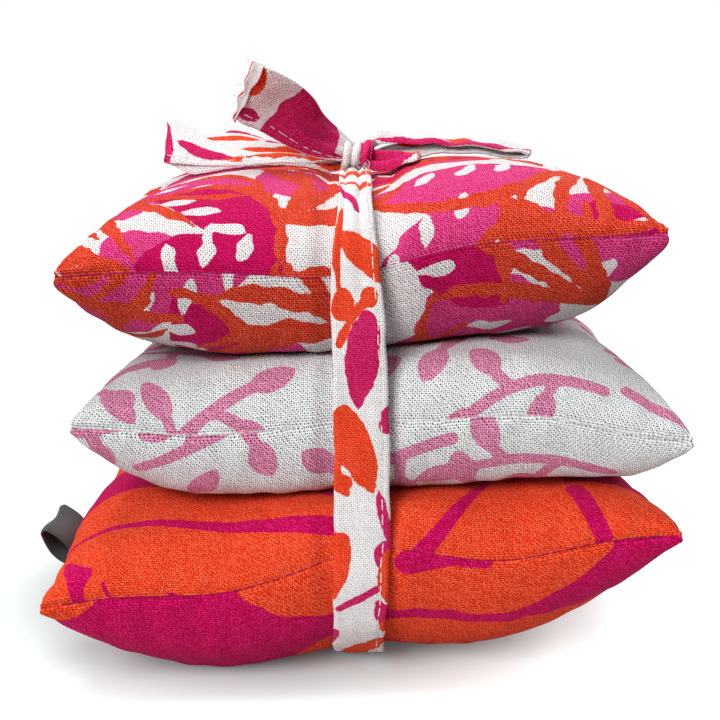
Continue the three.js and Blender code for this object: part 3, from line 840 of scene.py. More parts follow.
@dataclass(frozen=True)
class Slack:
    """A place where a panel is less full, or fuller where the depth is below zero."""

    upper: bool
    u: float
    v: float
    reach: float
    depth: float


@dataclass
class Sachet:
    """One sachet: its printed cover of two panels, the stitches in its seam, and the buds inside."""

    name: str
    body: str
    form: SachetForm
    cloth: PrintedCotton
    cloth_print: Print
    thread: SewingThread
    buds: bpy.types.Material
    divisions: int = 220
    fill: float = 0.75
    buds_fill: float = 0.9
    seam_groove: float = 0.55
    seam_reach: float = 0.8
    stitch_pitch: float = 2.5
    stitch_length: float = 2.25
    stitch_radius: float = 0.14
    pucker: float = 0.22
    fine_pucker: float = 0.12
    lump: float = 0.18
    fine_lump: float = 0.09
    seed: int = 1
    slack: tuple[Slack, ...] = ()
    corner_pull: float = 0.0
    swell_divisions: int = 64
    swell_frames: int = 20
    swell_cap: float = 1.6
    cut_side: float = 126.0
    swelling: Array | None = field(default=None, repr=False)

    TIE_HALF_WIDTH = 5.9
    TIE_DENT_EDGE = 3.0
    TIE_SINK_AT_SEAMS = 1.0
    TIE_SINK_AT_CROWN = 1.6
    TIE_UNDER_BASE = 1.2
    # Where the lower panel's flat cloth lies on the print, so that the two panels show other parts of it.
    LOWER_PRINT_PLACE = (37.0, 61.0)
    # The solver is steadier at ten times the size.
    SOLVER_SCALE = 10.0
    # Springy cotton that an even pressure fills.
    CLOTH_SETTINGS = {
        "quality": 5, "mass": 0.2, "tension_stiffness": 12, "compression_stiffness": 12, "shear_stiffness": 4,
        "bending_stiffness": 0.02, "tension_damping": 10, "compression_damping": 10, "shear_damping": 10,
        "vertex_group_mass": "held", "pin_stiffness": 4, "use_pressure": True, "uniform_pressure_force": 4,
    }

    def dent(self, x: Array, y: Array) -> Array:
        """1 under the tie, falling to 0 beside it, at places of the sachet's own plan."""
        turn = math.radians(self.form.turn_degrees)
        across = x * math.cos(turn) - y * math.sin(turn) + self.form.shift_right
        return 1 - smooth((np.abs(across) - self.TIE_HALF_WIDTH) / self.TIE_DENT_EDGE)

    def seam_height(self, u: Array, v: Array) -> Array:
        """Height of the seam over the sachet's underside, at places from -1 to 1."""
        f = self.form
        right, back = (1 + u) / 2, (1 + v) / 2
        height = f.seam_height + f.front_left_rise * (1 - right) * (1 - back)
        height = height + f.front_right_rise * right * (1 - back)
        height = height + f.back_right_rise * right * back + f.back_left_rise * (1 - right) * back
        for rise, place in zip(f.wave_rises, f.wave_places):
            height = height + rise * np.exp(-(((u - place) / 0.3) ** 2)) * (1 - back) ** 2 * (1 - u**4)
        return height

    def plan(self, u: Array, v: Array) -> tuple[Array, Array]:
        """Plan of the sachet: a square whose sides draw in between the corners and dent under the tie."""
        half = self.form.side / 2
        pull = self.corner_pull * np.abs(u * v) ** 14
        x = u * (half - self.form.draw_in * u * u * (1 - np.abs(v) ** 3) + pull)
        y = v * (half - self.form.draw_in * v * v * (1 - np.abs(u) ** 3) + pull)
        return x, y - v * np.abs(v) * self.TIE_SINK_AT_SEAMS * self.dent(x, y)

    def surface(self, u: Array, v: Array, upper: bool) -> Array:
        """Points of one panel, in the sachet's own frame.

        Args:
            u: places from left to right, -1 to 1.
            v: places from front to back, -1 to 1.
            upper: whether it is the upper panel.

        Returns:
            The points, in mm.
        """
        f = self.form
        x, y = self.plan(u, v)
        seam = self.seam_height(u, v)
        power, share = (2.4, 0.5) if f.stands and not upper else (3, 0.42)
        fullness = np.maximum(0, 1 - np.abs(u) ** 3) ** 0.42 * np.maximum(0, 1 - np.abs(v) ** power) ** share
        if upper:
            lift = f.crown_above * fullness
            if f.pressed_thickness is None:
                lift = lift - self.TIE_SINK_AT_CROWN * self.dent(x, y) * fullness
            else:
                lift = soft_limit(lift, f.pressed_thickness + f.tilt_above * (x + f.shift_right) - seam)
            return np.stack([x, y, seam + lift], -1)
        if f.stands:
            drop = soft_limit(f.crown_below * fullness, seam + 0.5, 24.0)
            drop = np.minimum(drop, seam - self.TIE_UNDER_BASE * self.dent(x, y))
        else:
            drop = soft_limit(f.crown_below * fullness, seam - f.tilt * (x + f.shift_right))
        return np.stack([x, y, seam - drop], -1)

    def placed(self, points: Array) -> Array:
        """The same points at their place in the stack."""
        turn = math.radians(self.form.turn_degrees)
        cos, sin = math.cos(turn), math.sin(turn)
        x, y, z = np.moveaxis(points, -1, 0)
        return np.stack([x * cos - y * sin + self.form.shift_right, x * sin + y * cos, z + self.form.base], -1)

    def room(self, points: Array, upper: bool) -> Array:
        """How far the cloth may move outwards before it meets a neighbour, the floor or the tie, in mm."""
        f = self.form
        x, y, z = np.moveaxis(points, -1, 0)
        if upper:
            limit = 1e3 if f.pressed_thickness is None else f.pressed_thickness + f.tilt_above * (x + f.shift_right)
            clear = limit - z
        else:
            clear = z - (0.0 if f.stands else f.tilt * (x + f.shift_right))
        clear = np.maximum(clear, 0) * 0.7
        tied = self.dent(x, y)
        return np.where(tied > 0.02, np.minimum(clear, 4 * (1 - tied) ** 2), clear)

    @staticmethod
    def outward(points: Array, upper: bool) -> Array:
        """Directions straight out of a panel, at each of its points."""
        normal = unit(np.cross(np.gradient(points, axis=1), np.gradient(points, axis=0)))
        return normal if upper else -normal

    def panel(self, upper: bool) -> tuple[Array, Array]:
        """Points of one finished panel.

        Args:
            upper: whether it is the upper one.

        Returns:
            The points row by row, and their place on the flat cloth.
        """
        turned = crowded(self.divisions + 1, 2)
        u, v = np.meshgrid(turned, turned)
        points = self.surface(u, v, upper)
        front, left = reach_along(points, 0), reach_along(points, 1)
        back, right = front[[-1]] - front, left[:, [-1]] - left
        seam = np.minimum(np.minimum(front, back), np.minimum(left, right))
        flat = np.stack([(left - right) / (left + right), (front - back) / (front + back)], -1) * self.cut_side / 2
        # The two edges meet in a fine groove.
        opening = 0.5 * (1 - np.exp(-seam / self.seam_reach))
        points[..., 2] += opening if upper else -opening
        normal = self.outward(points, upper)
        x, y = points[..., 0], points[..., 1]
        out = np.zeros_like(seam)
        # Gathers run in from each side of the seam, and the filling shows through as low lumps.
        for number, (near, along) in enumerate(((front, x), (back, x), (left, y), (right, y))):
            wave = Ripple(5.0, 9.0, self.seed * 10 + number)(along + (3.1 if upper else 0.0))
            out += self.pucker * wave * np.exp(-near / 9.0) * smooth(near / 1.2)
            fine = np.cos(2 * np.pi * along / self.stitch_pitch)
            out += self.fine_pucker * fine * np.exp(-near / 1.6) * smooth(near / 0.5)
        draw = self.seed + (0 if upper else 50)
        out += self.lump * Lumps(14, 30, draw)(x, y) * smooth(seam / 8)
        out += self.fine_lump * Lumps(5, 9, draw + 7)(x, y) * smooth(seam / 4)
        if self.swelling is not None:
            out += self.swelling[0 if upper else 1]
        out = np.minimum(out, self.room(points, upper))
        for slack in self.slack:
            if slack.upper == upper:
                away = (u - slack.u) ** 2 + (v - slack.v) ** 2
                out -= slack.depth * np.exp(-away / slack.reach**2) * smooth(seam / 6)
        points = points + normal * out[..., None]
        if self.form.stands:
            points[..., 2] = np.maximum(points[..., 2], 0.0)
        points[..., :2] *= (1 - self.seam_groove * np.exp(-((seam / 0.45) ** 2)) / (self.form.side / 2))[..., None]
        if not upper:
            flat = flat * (-1, 1) + self.LOWER_PRINT_PLACE
        return self.placed(points).reshape(-1, 3), flat.reshape(-1, 2)

    def swell(self) -> None:
        """Lets the filling press the cover outwards in a cloth simulation, and keeps how far each point moved.

        The cloth's own size is that of the flat square it was cut from, so it gathers beside the seam. The seam, the
        faces pressed by a neighbour and the strip under the tie are held.
        """
        size = self.swell_divisions + 1
        turned = crowded(size, 1.4)
        u, v = np.meshgrid(turned, turned)
        inner, numbers, faces = joined_halves(size)
        panels = {upper: self.surface(u, v, upper) for upper in (True, False)}
        flats, held = [], []
        for upper, panel in panels.items():
            along, across = reach_along(panel, 0), reach_along(panel, 1)
            shares = [across / across[:, [-1]] * 2 - 1, along / along[[-1], :] * 2 - 1, 0 * u]
            flats.append(np.stack(shares, -1).reshape(-1, 3) * self.cut_side / 2)
            free = smooth(self.room(panel, upper) / 1.5) * (1 - self.dent(panel[..., 0], panel[..., 1]))
            held.append(1 - free.ravel())
        held[0][~inner] = 1.0
        start = np.vstack([panels[True].reshape(-1, 3), panels[False].reshape(-1, 3)[inner]])
        obj = mesh_piece("swelling_cover", start * self.SOLVER_SCALE, faces)
        obj.shape_key_add(name="Basis")
        cut = obj.shape_key_add(name="cut")
        rest = np.vstack([flats[0], flats[1][inner]])
        cut.data.foreach_set("co", (rest * self.SOLVER_SCALE * MM).astype(np.float32).ravel())
        group = obj.vertex_groups.new(name="held")
        for number, weight in enumerate(np.concatenate([held[0], held[1][inner]])):
            group.add([number], float(weight), "REPLACE")
        cloth = obj.modifiers.new("cloth", "CLOTH")
        for name, value in self.CLOTH_SETTINGS.items():
            setattr(cloth.settings, name, value)
        cloth.settings.rest_shape_key = cut
        cloth.settings.effector_weights.gravity = 0
        cloth.collision_settings.use_collision = False
        cloth.point_cache.frame_end = self.swell_frames
        for number in range(1, self.swell_frames + 1):
            bpy.context.scene.frame_set(number)
        swollen = obj.evaluated_get(bpy.context.evaluated_depsgraph_get()).to_mesh()
        after = np.zeros(len(swollen.vertices) * 3, np.float32)
        swollen.vertices.foreach_get("co", after)
        obj.to_mesh_clear()
        bpy.context.scene.frame_set(1)
        bpy.data.objects.remove(obj)
        moved = after.reshape(-1, 3) / MM / self.SOLVER_SCALE - start
        LOG.info("%s cover: simulated, moved up to %.1f mm", self.name, float(np.abs(moved).max()))
        # The fine panels read the coarse cover's movement as a smooth field.
        weights = cubic_weights(np.interp(crowded(self.divisions + 1, 2), turned, np.arange(size)), size)
        found = []
        for upper, panel in panels.items():
            step = moved[: size * size] if upper else moved[numbers]
            out = (step.reshape(size, size, 3) * self.outward(panel, upper)).sum(-1)
            found.append(weights @ (self.swell_cap * np.tanh(out / self.swell_cap)) @ weights.T)
        self.swelling = np.stack(found)

    def cover(self) -> bpy.types.Object:
        """Both panels as one closed cover, joined along the seam."""
        size = self.divisions + 1
        upper, upper_flat = self.panel(True)
        lower, lower_flat = self.panel(False)
        inner, _, faces = joined_halves(size)
        obj = mesh_piece(f"{self.name}_cover", np.vstack([upper, lower[inner]]), faces)
        corners = upper_flat[grid_faces(size, size).ravel()], lower_flat[grid_faces(size, size, flip=True).ravel()]
        set_cloth(obj, np.vstack(corners), self.cloth_print)
        # The lower panel is flagged for painted shade.
        set_corner_values(obj, "painted_shade_side", np.repeat([0.0, 1.0], len(corners[0])))
        replaced = f"{self.name}_upper_panel", f"{self.name}_lower_panel"
        dress(obj, self.cloth.make(), self.body, replaced)
        return obj

    def seam_line(self, step: float) -> Array:
        """Places along the whole seam at even steps, in the stack's frame, as a closed line."""
        turns = np.linspace(-1, 1, 400)
        ones = np.ones_like(turns)
        sides = [(turns, -ones), (ones, turns), (-turns, ones), (-ones, -turns)]
        line = np.vstack([self.surface(u[:-1], v[:-1], True) for u, v in sides])
        closed = np.vstack([line, line[:1]])
        total = reach_along(closed)[-1]
        return self.placed(resampled(closed, np.arange(0, total, total / round(total / step))))

    def stitches(self) -> bpy.types.Object:
        """The stitches of the seam, each a short thread that sinks at both ends."""
        line = self.seam_line(self.stitch_pitch / 2)
        line[:, :2] -= unit(line[:, :2] - line[:, :2].mean(0)) * (self.seam_groove - 0.02)
        corners = self.placed(np.array([[x, y, 0.0] for x in (-1, 1) for y in (-1, 1)]) * self.form.side / 2)
        away = np.linalg.norm(line[:, None, :2] - corners[None, :, :2], axis=-1).min(1)
        name = f"{self.name}_seam_stitches"
        obj = stitch_row(name, line, self.stitch_length, self.stitch_radius, keep=away[::2] > 2.6)
        dress(obj, self.thread.make(), self.body, [f"{self.name}_seam_stitching"])
        return obj

    def filling(self) -> bpy.types.Object:
        """The buds that fill the cover, as one heap with their lumps."""
        size = 91
        even = np.linspace(-1, 1, size)
        u, v = np.meshgrid(even, even)
        bud = Lumps(3, 4.5, self.seed + 3, 20)
        halves = []
        for upper in (True, False):
            points = self.surface(u, v, upper)
            middle = np.stack([0 * u, 0 * u, self.seam_height(u * 0, v * 0)], -1)
            inset = 1 - (2.2 + 0.3 * bud(points[..., 0], points[..., 1])) / (self.form.side / 2)
            points = middle + (points - middle) * np.stack([inset, inset, inset * 0.9], -1)
            halves.append(self.placed(points).reshape(-1, 3))
        inner, _, faces = joined_halves(size)
        obj = mesh_piece(f"{self.name}_buds", np.vstack([halves[0], halves[1][inner]]), faces)
        dress(obj, self.buds, self.body, [f"{self.name}_lavender_filling"])
        return obj

    def build(self) -> list[bpy.types.Object]:
        """Builds and dresses every piece of the sachet."""
        self.swell()
        return [self.cover(), self.stitches(), self.filling()]


# ---------------------------------------------------------------------------------------------------------- tie


def spline(stations: Array, steps: int) -> Array:
    """A smooth curve through stations, at even shares of the way between each two.

    Args:
        stations: one row of values for each station.
        steps: how many steps lie between two stations.

    Returns:
        The rows along the curve, the first and last station among them.
    """
    ends = np.vstack([2 * stations[0] - stations[1], stations, 2 * stations[-1] - stations[-2]])
    t = np.linspace(0, 1, steps, endpoint=False)[:, None]
    made = []
    for i in range(1, len(ends) - 2):
        a, b, c, d = ends[i - 1 : i + 3]
        square, cube = 2 * a - 5 * b + 4 * c - d, 3 * b - a - 3 * c + d
        made.append(0.5 * (2 * b + (c - a) * t + square * t**2 + cube * t**3))
    return np.vstack([*made, ends[-2]])


@dataclass(frozen=True)
class Tape:
    """A folded cotton tape: how thick it is, and how finely its mesh follows it."""

    thickness: float = 0.7
    width: float = 10.0
    across_steps: int = 20
    along_step: float = 0.45

    @property
    def shares(self) -> Array:
        """Places across the tape, from 0 at its near edge to 1 at its far edge."""
        return np.linspace(0, 1, self.across_steps + 1)


def tape_mesh(
    name: str, near: Array, far: Array, bulge: Array, tape: Tape, closed: bool, flat_start: Sequence[float]
) -> tuple[bpy.types.Object, Array]:
    """Makes a tape between two edge lines.

    Args:
        name: the piece's name.
        near: points of one edge.
        far: points of the other.
        bulge: how far the cloth between them stands out, with a row for each point of the edges and a value for each
            step across.
        tape: the tape's sizes.
        closed: whether the tape's end joins its start.
        flat_start: where the tape starts on the flat printed cloth.

    Returns:
        The new object, and the place of its face corners on the flat cloth.
    """
    shares = tape.shares
    rows, columns = len(near), 2 * len(shares)
    sheet = near[:, None, :] * (1 - shares)[None, :, None] + far[:, None, :] * shares[None, :, None]
    normal = unit(np.cross(np.gradient(sheet, axis=1), steps_along(sheet, closed)))
    sheet = sheet + normal * bulge[:, :, None]
    normal = unit(np.cross(np.gradient(sheet, axis=1), steps_along(sheet, closed)))
    # The edges are folds, so they are round.
    edge = np.minimum(shares, 1 - shares) * tape.width / (tape.thickness / 2)
    plump = np.sqrt(np.clip(1 - (1 - np.clip(edge, 0, 1)) ** 2, 0.02, 1))
    half = normal * 0.5 * tape.thickness * plump[None, :, None]
    points = np.concatenate([sheet + half, (sheet - half)[:, ::-1]], axis=1).reshape(-1, 3)
    middle = sheet.mean(1)
    run = reach_along(np.vstack([middle, middle[:1]]) if closed else middle)
    # The print goes on round the fold, over both faces.
    across = np.concatenate([shares, 2 - shares[::-1]]) * tape.width
    faces = grid_faces(rows + closed, columns, wrap=True, flip=True)
    column = faces % columns
    wraps = (column == 0) & (column.max(1, keepdims=True) == columns - 1)
    place = np.stack([np.where(wraps, 2 * tape.width + 0.1, across[column]), run[faces // columns]], -1)
    faces %= rows * columns
    if not closed:
        k = np.arange(len(shares) - 1)
        cap = np.stack([k, k + 1, columns - 2 - k, columns - 1 - k], 1)
        for corners, row in ((cap, 0), (cap[:, ::-1], rows - 1)):
            over = shares[np.minimum(corners, columns - 1 - corners)] * tape.width
            place = np.vstack([place, np.stack([over, np.full(corners.shape, run[row])], -1)])
            faces = np.vstack([faces, corners + row * columns])
    return mesh_piece(name, points, faces), place.reshape(-1, 2) + flat_start


@dataclass(frozen=True)
class TieLook:
    """What every piece of the tie is made of."""

    cloth: bpy.types.Material
    cloth_print: Print
    thread: bpy.types.Material

    def tape(
        self,
        name: str,
        edges: tuple[Array, Array],
        bulge: Array,
        tape: Tape,
        closed: bool,
        flat_start: Sequence[float],
        body: str = "",
        replaced: Sequence[str] = (),
    ) -> tuple[bpy.types.Object, Array]:
        """Makes a printed tape.

        Args:
            name: the piece's name.
            edges: points of its near and its far edge.
            bulge: how far the cloth between them stands out, as in tape_mesh().
            tape: the tape's sizes.
            closed: whether the tape's end joins its start.
            flat_start: where the tape starts on the flat printed cloth.
            body: the body that it rides on, if it rides on one.
            replaced: the solids that it stands for.

        Returns:
            The new object, and the place of its face corners on the flat cloth.
        """
        obj, flat = tape_mesh(name, *edges, bulge, tape, closed, flat_start)
        set_cloth(obj, flat, self.cloth_print)
        dress(obj, self.cloth, body, replaced)
        return obj, flat

    def topstitch(self, name: str, line: Array, radius: float, closed: bool) -> bpy.types.Object:
        """Makes a row of topstitching.

        Args:
            name: the piece's name.
            line: places at half the stitches' spacing.
            radius: the thread's radius.
            closed: whether the line's end joins its start.

        Returns:
            The new object.
        """
        stitches = stitch_row(name, line[: len(line) // 2 * 2], TOPSTITCH_LENGTH, radius, closed)
        dress(stitches, self.thread)
        return stitches


Station = tuple[tuple[float, float, float], tuple[float, float, float], float]


@dataclass
class BowPiece:
    """A loop or tail of the bow, from stations: places of the near and far edge, and the depth of the pleats."""

    name: str
    node: str
    body: str
    stations: tuple[Station, ...]
    flat_length: float
    flat_start: tuple[float, float]
    blend_start: tuple[float, float, float]
    blend_end: tuple[float, float, float]
    pleats: float = 2.5
    seed: int = 1
    tape: Tape = Tape(thickness=0.6)
    raw_end: bool = False
    topstitch_share: float = 0.15
    shade_painted_inside: bool = False
    rest_gap: float = 0.3
    steps: int = 14
    easings: int = 10
    topstitch_margins: tuple[float, float] = (4.5, 1.5)

    def rest(self, line: Array, under: BVHTree) -> None:
        """Keeps an edge line off the surface that it lies on, in a soft curve."""
        floor = np.full(len(line), -1e3)
        for number, point in enumerate(line):
            hit = under.ray_cast(Vector((point[0], point[1], 200)) * MM, Vector((0, 0, -1)))[0]
            if hit is not None:
                floor[number] = hit.z / MM + self.tape.thickness / 2 + self.rest_gap
        line[:, 2] = np.maximum(line[:, 2], floor)
        for _ in range(self.easings):
            line[1:-1, 2] = 0.5 * line[1:-1, 2] + 0.25 * (line[:-2, 2] + line[2:, 2])
        line[:, 2] = np.maximum(line[:, 2], floor)

    def build(self, look: TieLook, under: BVHTree) -> list[bpy.types.Object]:
        """Builds the piece with its topstitching.

        Args:
            look: what the tie is made of.
            under: the surface that the piece lies on.

        Returns:
            The tape and what is sewn to it.
        """
        lines = spline(np.array([[*near, *far, pleat] for near, far, pleat in self.stations]), self.steps)
        near, far, pleat = lines[:, :3], lines[:, 3:6], np.maximum(lines[:, 6], 0)
        self.rest(near, under)
        self.rest(far, under)
        shares = self.tape.shares
        wave = np.cos(2 * np.pi * self.pleats * shares + 0.6)
        along = np.arange(len(near))[:, None] * 0.3
        creases = 0.2 * Lumps(3.5, 11, self.seed)(along + 0 * shares, shares * self.tape.width)
        creases = creases + 0.06 * np.cos(2 * np.pi * (along + 0.6 * shares) / 1.5) * (shares < 0.3)
        bulge = pleat[:, None] * wave[None, :] + creases
        obj, flat = look.tape(self.name, (near, far), bulge, self.tape, False, self.flat_start)
        # The tape's inside face, turned down towards the camera, is flagged for painted shade.
        if self.shade_painted_inside:
            set_corner_values(obj, "painted_shade_side", flat[:, 0] < self.flat_start[0] + self.tape.width + 0.01)
        co = np.empty(len(obj.data.vertices) * 3)
        obj.data.vertices.foreach_get("co", co)
        grid = co.reshape(len(near), -1, 3) / MM
        sewn = self.fray(obj, grid, look) if self.raw_end else []
        edge = grid[:, round(self.topstitch_share * self.tape.across_steps)]
        first, last = self.topstitch_margins
        line = resampled(edge, np.arange(first, reach_along(edge)[-1] - last, TOPSTITCH_HALF_PITCH))
        sewn.append(look.topstitch(f"{self.name}_stitches", line, 0.085, False))
        for piece in (obj, *sewn):
            ends = (tuple(MM * c for c in place) for place in (self.blend_start, self.blend_end))
            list(ends)
            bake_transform(piece)
        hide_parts(self.node)
        return [obj, *sewn]

    def fray(self, obj: bpy.types.Object, grid: Array, look: TieLook) -> list[bpy.types.Object]:
        """Makes the end uneven, turns a narrow hem in over it and lets yarns stand out of it.

        Args:
            obj: the tape, whose points are moved.
            grid: its points row by row, also moved.
            look: what the tie is made of.

        Returns:
            The hem and the yarns.
        """
        rows, columns = grid.shape[:2]
        half = columns // 2
        place = np.linspace(0, self.tape.width, half)
        uneven = 0.35 * Ripple(2.5, 6.0, self.seed)(np.concatenate([place, place[::-1]]))
        ahead = unit(grid[-1] - grid[-4])
        ramp = smooth((np.arange(rows) - (rows - 9)) / 8)
        grid += ahead[None] * uneven[None, :, None] * ramp[:, None, None]
        obj.data.vertices.foreach_set("co", (grid * MM).ravel())
        obj.data.update()
        top, ahead = grid[:, :half], ahead[:half]
        normal = unit(np.cross(np.gradient(top, axis=1)[-5], (top[-1] - top[-6])))
        wave = 0.25 * Ripple(3, 7, self.seed + 1)(place)[:, None]
        edge = top[-1] + normal * 0.35 - ahead * 0.2
        back = top[-8] + normal * (0.75 + wave) - ahead * (0.3 + wave)
        hem_tape = Tape(thickness=0.35, width=2.8)
        fold = -0.25 * np.sin(np.pi * hem_tape.shares)[None, :] * np.ones((half, 1))
        flat_start = self.flat_start[0] + 3, self.flat_start[1] + 28
        hem, _ = look.tape(f"{self.name}_hem", (edge, back), fold, hem_tape, False, flat_start)
        draws = np.random.default_rng(self.seed)
        starts, steps = [], []
        for _ in range(LOOSE_YARNS):
            k = int(draws.integers(0, half))
            starts.append(edge[k] - ahead[k] * 0.3 + normal[k] * draws.uniform(-0.2, 0.5))
            heading = ahead[k] * draws.uniform(0.1, 0.3) + draws.normal(0, 0.1, 3)
            steps.append(heading + draws.normal(0, 0.08, (6, 3)) + [0, 0, -0.05])
        yarns = loose_threads(f"{self.name}_yarns", starts, steps, 0.05)
        dress(yarns, look.thread)
        return [hem, yarns]


@dataclass
class Tie:
    """The cotton strip: the band round the stack, its topstitching, the knot and the bow."""

    look: TieLook
    tape: Tape = Tape()
    topstitch_inset: float = 1.4
    knot_y: float = -6.0
    knot_flat_length: float = 21.0
    easings: int = 12

    # The band's left and right edge at each distance from the knot.
    EDGES = (
        (0.0, -3.9, 2.0),
        (37.0, -3.8, 2.2),
        (42.6, -4.1, 2.4),
        (46.6, -4.6, 2.9),
        (50.8, -5.0, 3.4),
        (60.0, -5.1, 4.3),
        (67.0, -4.9, 4.7),
        (80.0, -4.7, 5.2),
        (94.0, -4.6, 5.4),
        (103.0, -4.6, 5.4),
        (109.0, -4.7, 5.2),
        (118.0, -4.9, 4.7),
        (127.0, -5.1, 4.5),
        (150.0, -5.0, 4.9),
    )

    @staticmethod
    def half_hull(ordered: list[tuple[float, float]]) -> list[tuple[float, float]]:
        """The points of one side of the outline round points that are given in order."""
        kept: list[tuple[float, float]] = []
        for p in ordered:
            while len(kept) > 1:
                (ax, ay), (bx, by) = kept[-2:]
                if (bx - ax) * (p[1] - ay) - (by - ay) * (p[0] - ax) > 0:
                    break
                kept.pop()
            kept.append(p)
        return kept[:-1]

    def outline(self) -> Array:
        """Outside of the band in the Y-Z plane, read from its solid, at even steps from the knot over the front."""
        co = np.array([v.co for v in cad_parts["tie_band"].data.vertices]) / MM
        ordered = sorted(tuple(p) for p in np.unique(co[:, 1:3].round(4), axis=0))
        hull = np.array(self.half_hull(ordered) + self.half_hull(ordered[::-1]))
        closed = np.vstack([hull, hull[:1]])
        total = reach_along(closed)[-1]
        line = resampled(closed, np.linspace(0, total, int(total / self.tape.along_step), endpoint=False))
        for _ in range(self.easings):
            line = 0.5 * line + 0.25 * (np.roll(line, 1, 0) + np.roll(line, -1, 0))
        top = np.argmin(np.abs(line[:, 0] - self.knot_y) + 10 * (line[:, 1] < line[:, 1].mean()))
        line = np.roll(line, -top, 0)
        return np.roll(line[::-1], 1, 0) if line[5, 0] > line[0, 0] else line

    def band(self) -> list[bpy.types.Object]:
        """The band and its topstitching."""
        line = self.outline()
        ahead = unit(steps_along(line, True))
        outward = np.stack([ahead[:, 1], -ahead[:, 0]], 1)
        if (outward * (line - line.mean(0))).sum() < 0:
            outward = -outward
        run = np.arange(len(line)) * self.tape.along_step
        from_knot = np.minimum(run, run[-1] - run)
        sunk = line - outward * (self.tape.thickness / 2 + 0.12)
        reach, left, right = np.array(self.EDGES).T
        left_x = np.interp(from_knot, reach, left) + 0.14 * Ripple(7, 22, 5)(run)
        right_x = np.interp(from_knot, reach, right) + 0.14 * Ripple(6, 18, 6)(run)
        edges = np.column_stack([left_x, sunk]), np.column_stack([right_x, sunk])
        shares = self.tape.shares
        squeeze = np.clip(1 - (right_x - left_x) / self.tape.width, 0, 1)
        pleat = squeeze[:, None] * 1.2 * np.cos(2 * np.pi * 2.2 * shares + 0.9)[None, :]
        along, across = run[:, None] + 0 * shares, self.tape.width * shares[None, :] + 0 * run[:, None]
        near_knot = np.exp(-(((from_knot - 36) / 10) ** 2))[:, None]
        fine = (0.05 + 0.11 * near_knot) * Lumps(1.7, 3.4, 19)(along, across * 0.25)
        crease = 0.2 * Lumps(5, 13, 9)(along, across) + fine
        stitch_share = 1 - self.topstitch_inset / self.tape.width
        valley = -0.16 * np.exp(-(((shares - stitch_share) / 0.035) ** 2))[None, :]
        stand = np.minimum(pleat + crease + valley, 0.2)
        obj, _ = self.look.tape("tie_ribbon", edges, -stand, self.tape, True, (3.0, 40.0), ROOT_BODY, ["tie_band"])
        at = left_x + (right_x - left_x) * stitch_share
        over = np.array([np.interp(stitch_share, shares, row) for row in stand]) + self.tape.thickness / 2
        thread_line = np.column_stack([at, sunk + outward * over[:, None]])
        step = round(TOPSTITCH_HALF_PITCH / self.tape.along_step)
        stitches = self.look.topstitch("tie_topstitches", thread_line[::step], 0.13, True)
        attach(stitches, ROOT_BODY)
        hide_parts("tie_topstitching")
        return [obj, stitches]

    def knot(self) -> list[bpy.types.Object]:
        """The knot: the tape drawn in and wrapped once over the roots of the bow, with loose yarns below it."""
        low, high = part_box("tie_knot")
        centre = np.array((low + high) / 2) / MM
        size = np.array(high - low) / MM
        turn = np.linspace(0, 2 * np.pi, 97)[:-1]
        y = centre[1] + (size[1] / 2 - 0.2) * np.cos(turn)
        z = centre[2] - 0.25 + (size[2] / 2 - 0.1) * np.sin(turn)
        middle, half = 0.5 * np.sin(turn) - 0.6, 3.1 + 0.25 * np.cos(turn)
        edges = tuple(np.column_stack([middle + side * half, y, z]) for side in (-1, 1))
        tape = Tape(thickness=0.6)
        pleat = 0.5 * np.cos(2 * np.pi * 3.1 * tape.shares + 0.5)[None, :] * (0.8 + 0.2 * np.cos(2 * turn))[:, None]
        bulge = pleat - 0.9 * (2 * tape.shares - 1)[None, :] ** 2
        obj, _ = self.look.tape("knot_wrap", edges, bulge, tape, True, (52.0, 7.0), ROOT_BODY, ["tie_knot"])
        draws = np.random.default_rng(12)
        starts, steps = [], []
        for _ in range(LOOSE_YARNS):
            start = np.array([0.6, centre[1] - size[1] / 2 + 0.5, centre[2] - 0.6])
            starts.append(start + draws.uniform(-0.5, 0.5, 3))
            steps.append(draws.normal(0, 0.3, (9, 3)) + np.array([0.05, -0.28, -0.42]))
        tuft = loose_threads("knot_threads", starts, steps, 0.055)
        dress(tuft, self.look.thread, ROOT_BODY)
        return [obj, tuft]

    def build(self) -> list[bpy.types.Object]:
        """Builds and dresses every piece of the tie."""
        made = [*self.band(), *self.knot()]
        under = BVHTree.FromObject(bpy.data.objects["top_cover"], bpy.context.evaluated_depsgraph_get())
        for piece in BOW:
            made.extend(piece.build(self.look, under))
        return made


